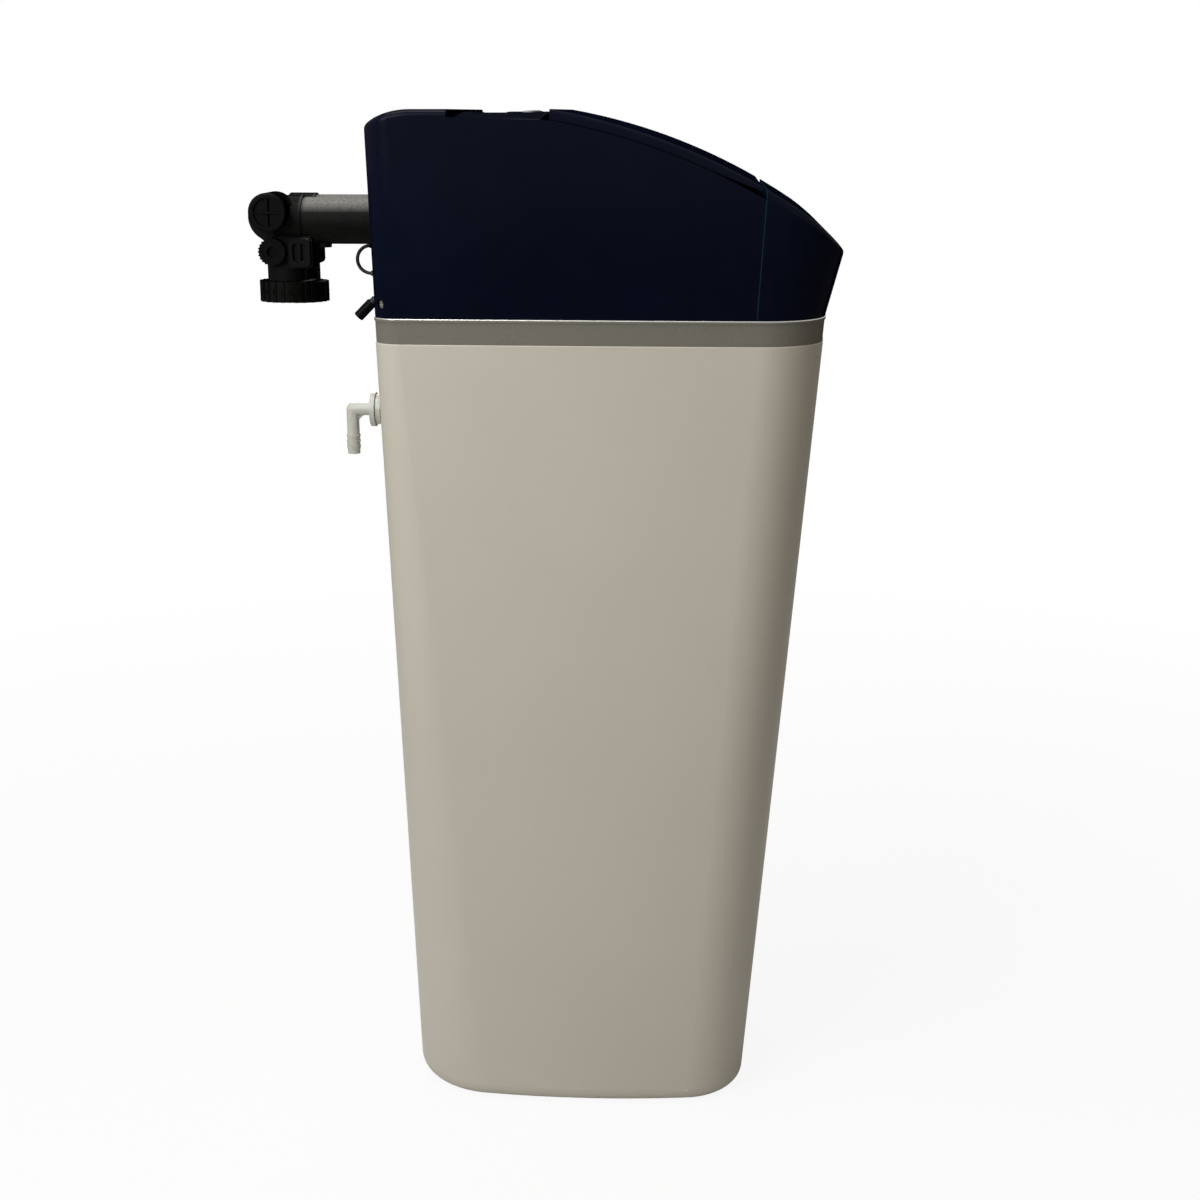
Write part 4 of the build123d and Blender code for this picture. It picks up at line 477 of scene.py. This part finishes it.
def lens_clear():
    """Smoke-tinted clear window."""
    finish = Finish("lens_smoke")
    haze = finish.noise(40.0)
    finish.shade(
        Base_Color=finish.between(haze, (0.3, 0.33, 0.36), (0.4, 0.43, 0.46)),
        Roughness=finish.level(haze, 0.02, 0.06),
        Transmission_Weight=0.85,
        IOR=1.49,
    )
    return finish.material


def metal(name, tint, low_rough, high_rough, fineness):
    """Metal with a fine lay."""
    finish = Finish(name)
    stretched = finish.add("ShaderNodeMapping", {"Vector": finish.place, "Scale": fineness})
    lay = finish.noise(1.0, detail=5.0, vector=stretched.outputs["Vector"])
    finish.shade(
        Base_Color=finish.between(lay, shaded(tint, 0.85), shaded(tint, 1.08)),
        Roughness=finish.level(lay, low_rough, high_rough),
        Metallic=1.0,
    )
    finish.relief((lay, 0.12, 0.00003))
    return finish.material


SINGLE_FINISHES = {maker.__name__: maker for maker in (
    cabinet_plastic, trim_metallic, cover_gloss, cable_black, washer_rubber, brine_tube_clear,
    tank_fibre, resin_amber, board_green, display_dark, lens_clear,
)}


def finish_for(slot):
    if slot in GRAINED_PLASTICS:
        return grained_plastic(*GRAINED_PLASTICS[slot], painted_top_light=slot == "pipe_plastic")
    if slot in PALE_PLASTICS:
        return pale_plastic(*PALE_PLASTICS[slot])
    if slot in METALS:
        return metal(*METALS[slot])
    return SINGLE_FINISHES[slot]()


finishes = {slot: finish_for(slot) for slot in sorted(set(slot_of.values()))}
for name, node in nodes.items():
    node.data.materials.clear()
    node.data.materials.append(finishes[slot_of[name]])


def placed(name, data):
    """A new object in the scene."""
    made = bpy.data.objects.new(name, data)
    bpy.context.scene.collection.objects.link(made)
    return made


def aimed(made, place, direction):
    """Put a lamp or the camera in its place and turn it along a direction."""
    made.location = place
    made.rotation_mode = "QUATERNION"
    made.rotation_quaternion = direction.to_track_quat("-Z", "Y")


# Meter cable
def cable_curve():
    data = bpy.data.curves.new("meter_cable_sheath", "CURVE")
    data.dimensions = "3D"
    data.bevel_depth = CABLE_RADIUS
    data.bevel_resolution = CABLE_ROUNDNESS
    data.resolution_u = CABLE_STEPS
    data.use_fill_caps = True
    spline = data.splines.new("NURBS")
    spline.points.add(len(CABLE_ROUTE) - 1)
    for point, place in zip(spline.points, CABLE_ROUTE):
        point.co = (*place, 1.0)
    spline.order_u = 3
    spline.use_endpoint_u = True
    data.materials.append(finishes["cable_black"])
    return placed("meter_cable_sheath", data)


cable = cable_curve()
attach(cable, "housing")
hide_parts("meter_cable")


# Studio: pale floor, white surroundings, soft lamps
def floor_white():
    """Matt floor that shows its own white to the camera and keeps the shadow on it."""
    made = bpy.data.materials.new("studio_white")
    made.use_nodes = True
    tree = made.node_tree
    tree.nodes.clear()
    rays = add_node(tree, "ShaderNodeLightPath", {})
    place = add_node(tree, "ShaderNodeTexCoord", {}).outputs["Object"]
    away = add_node(tree, "ShaderNodeVectorMath", {0: place}, operation="LENGTH")
    glow_share = add_node(tree, "ShaderNodeMapRange", {
        "Value": away.outputs["Value"],
        "From Min": FLOOR_FADE_START,
        "From Max": FLOOR_FADE_END,
        "To Min": FLOOR_GLOW_NEAR,
        "To Max": FLOOR_GLOW_FAR,
    })
    seen = calculated(
        tree, "MAXIMUM", rays.outputs["Is Camera Ray"], rays.outputs["Is Transmission Ray"]
    )
    share = calculated(tree, "MULTIPLY", seen, glow_share.outputs["Result"])
    matte = add_node(tree, "ShaderNodeBsdfDiffuse", {"Color": FLOOR_COLOUR})
    glow = add_node(tree, "ShaderNodeEmission", {"Strength": 1.0})
    surface = add_node(
        tree, "ShaderNodeMixShader", {0: share, 1: matte.outputs[0], 2: glow.outputs[0]}
    )
    add_node(tree, "ShaderNodeOutputMaterial", {"Surface": surface.outputs[0]})
    return made


def floor():
    half = FLOOR_SIZE / 2
    mesh = bpy.data.meshes.new("studio_floor")
    corners = [(-half, -half, 0.0), (half, -half, 0.0), (half, half, 0.0), (-half, half, 0.0)]
    mesh.from_pydata(corners, [], [(0, 1, 2, 3)])
    mesh.materials.append(floor_white())
    placed("studio_floor", mesh)


def surroundings():
    """White where the camera, a gloss or a clear piece looks at it, and a warm fill elsewhere."""
    world = bpy.context.scene.world or bpy.data.worlds.new("studio")
    bpy.context.scene.world = world
    world.use_nodes = True
    tree = world.node_tree
    tree.nodes.clear()
    rays = add_node(tree, "ShaderNodeLightPath", {})
    seen = calculated(
        tree, "MAXIMUM", rays.outputs["Is Camera Ray"], rays.outputs["Is Glossy Ray"]
    )
    seen = calculated(tree, "MAXIMUM", seen, rays.outputs["Is Transmission Ray"])
    fill = add_node(
        tree, "ShaderNodeBackground", {"Color": FILL_TINT, "Strength": FILL_STRENGTH}
    )
    shown = add_node(tree, "ShaderNodeBackground", {"Color": WHITE, "Strength": 1.0})
    surface = add_node(
        tree, "ShaderNodeMixShader", {0: seen, 1: fill.outputs[0], 2: shown.outputs[0]}
    )
    add_node(tree, "ShaderNodeOutputWorld", {"Surface": surface.outputs[0]})


def soft_lamp(name, place, width, height, power):
    data = bpy.data.lights.new(name, "AREA")
    data.shape = "RECTANGLE"
    data.size = width
    data.size_y = height
    data.energy = power
    aimed(placed(name, data), place, LAMP_TARGET - place)


def photo_camera():
    data = bpy.data.cameras.new("photo_camera")
    data.lens = CAMERA_LENS
    data.sensor_width = CAMERA_SENSOR
    data.clip_end = CAMERA_REACH
    ahead = Vector((
        math.cos(CAMERA_YAW) * math.cos(CAMERA_PITCH),
        math.sin(CAMERA_YAW) * math.cos(CAMERA_PITCH),
        -math.sin(CAMERA_PITCH),
    ))
    camera = placed("photo_camera", data)
    aimed(camera, CAMERA_PLACE, ahead)
    bpy.context.scene.camera = camera


floor()
surroundings()
for lamp in LAMPS:
    soft_lamp(*lamp)
photo_camera()
bpy.context.scene.view_settings.view_transform = "Standard"
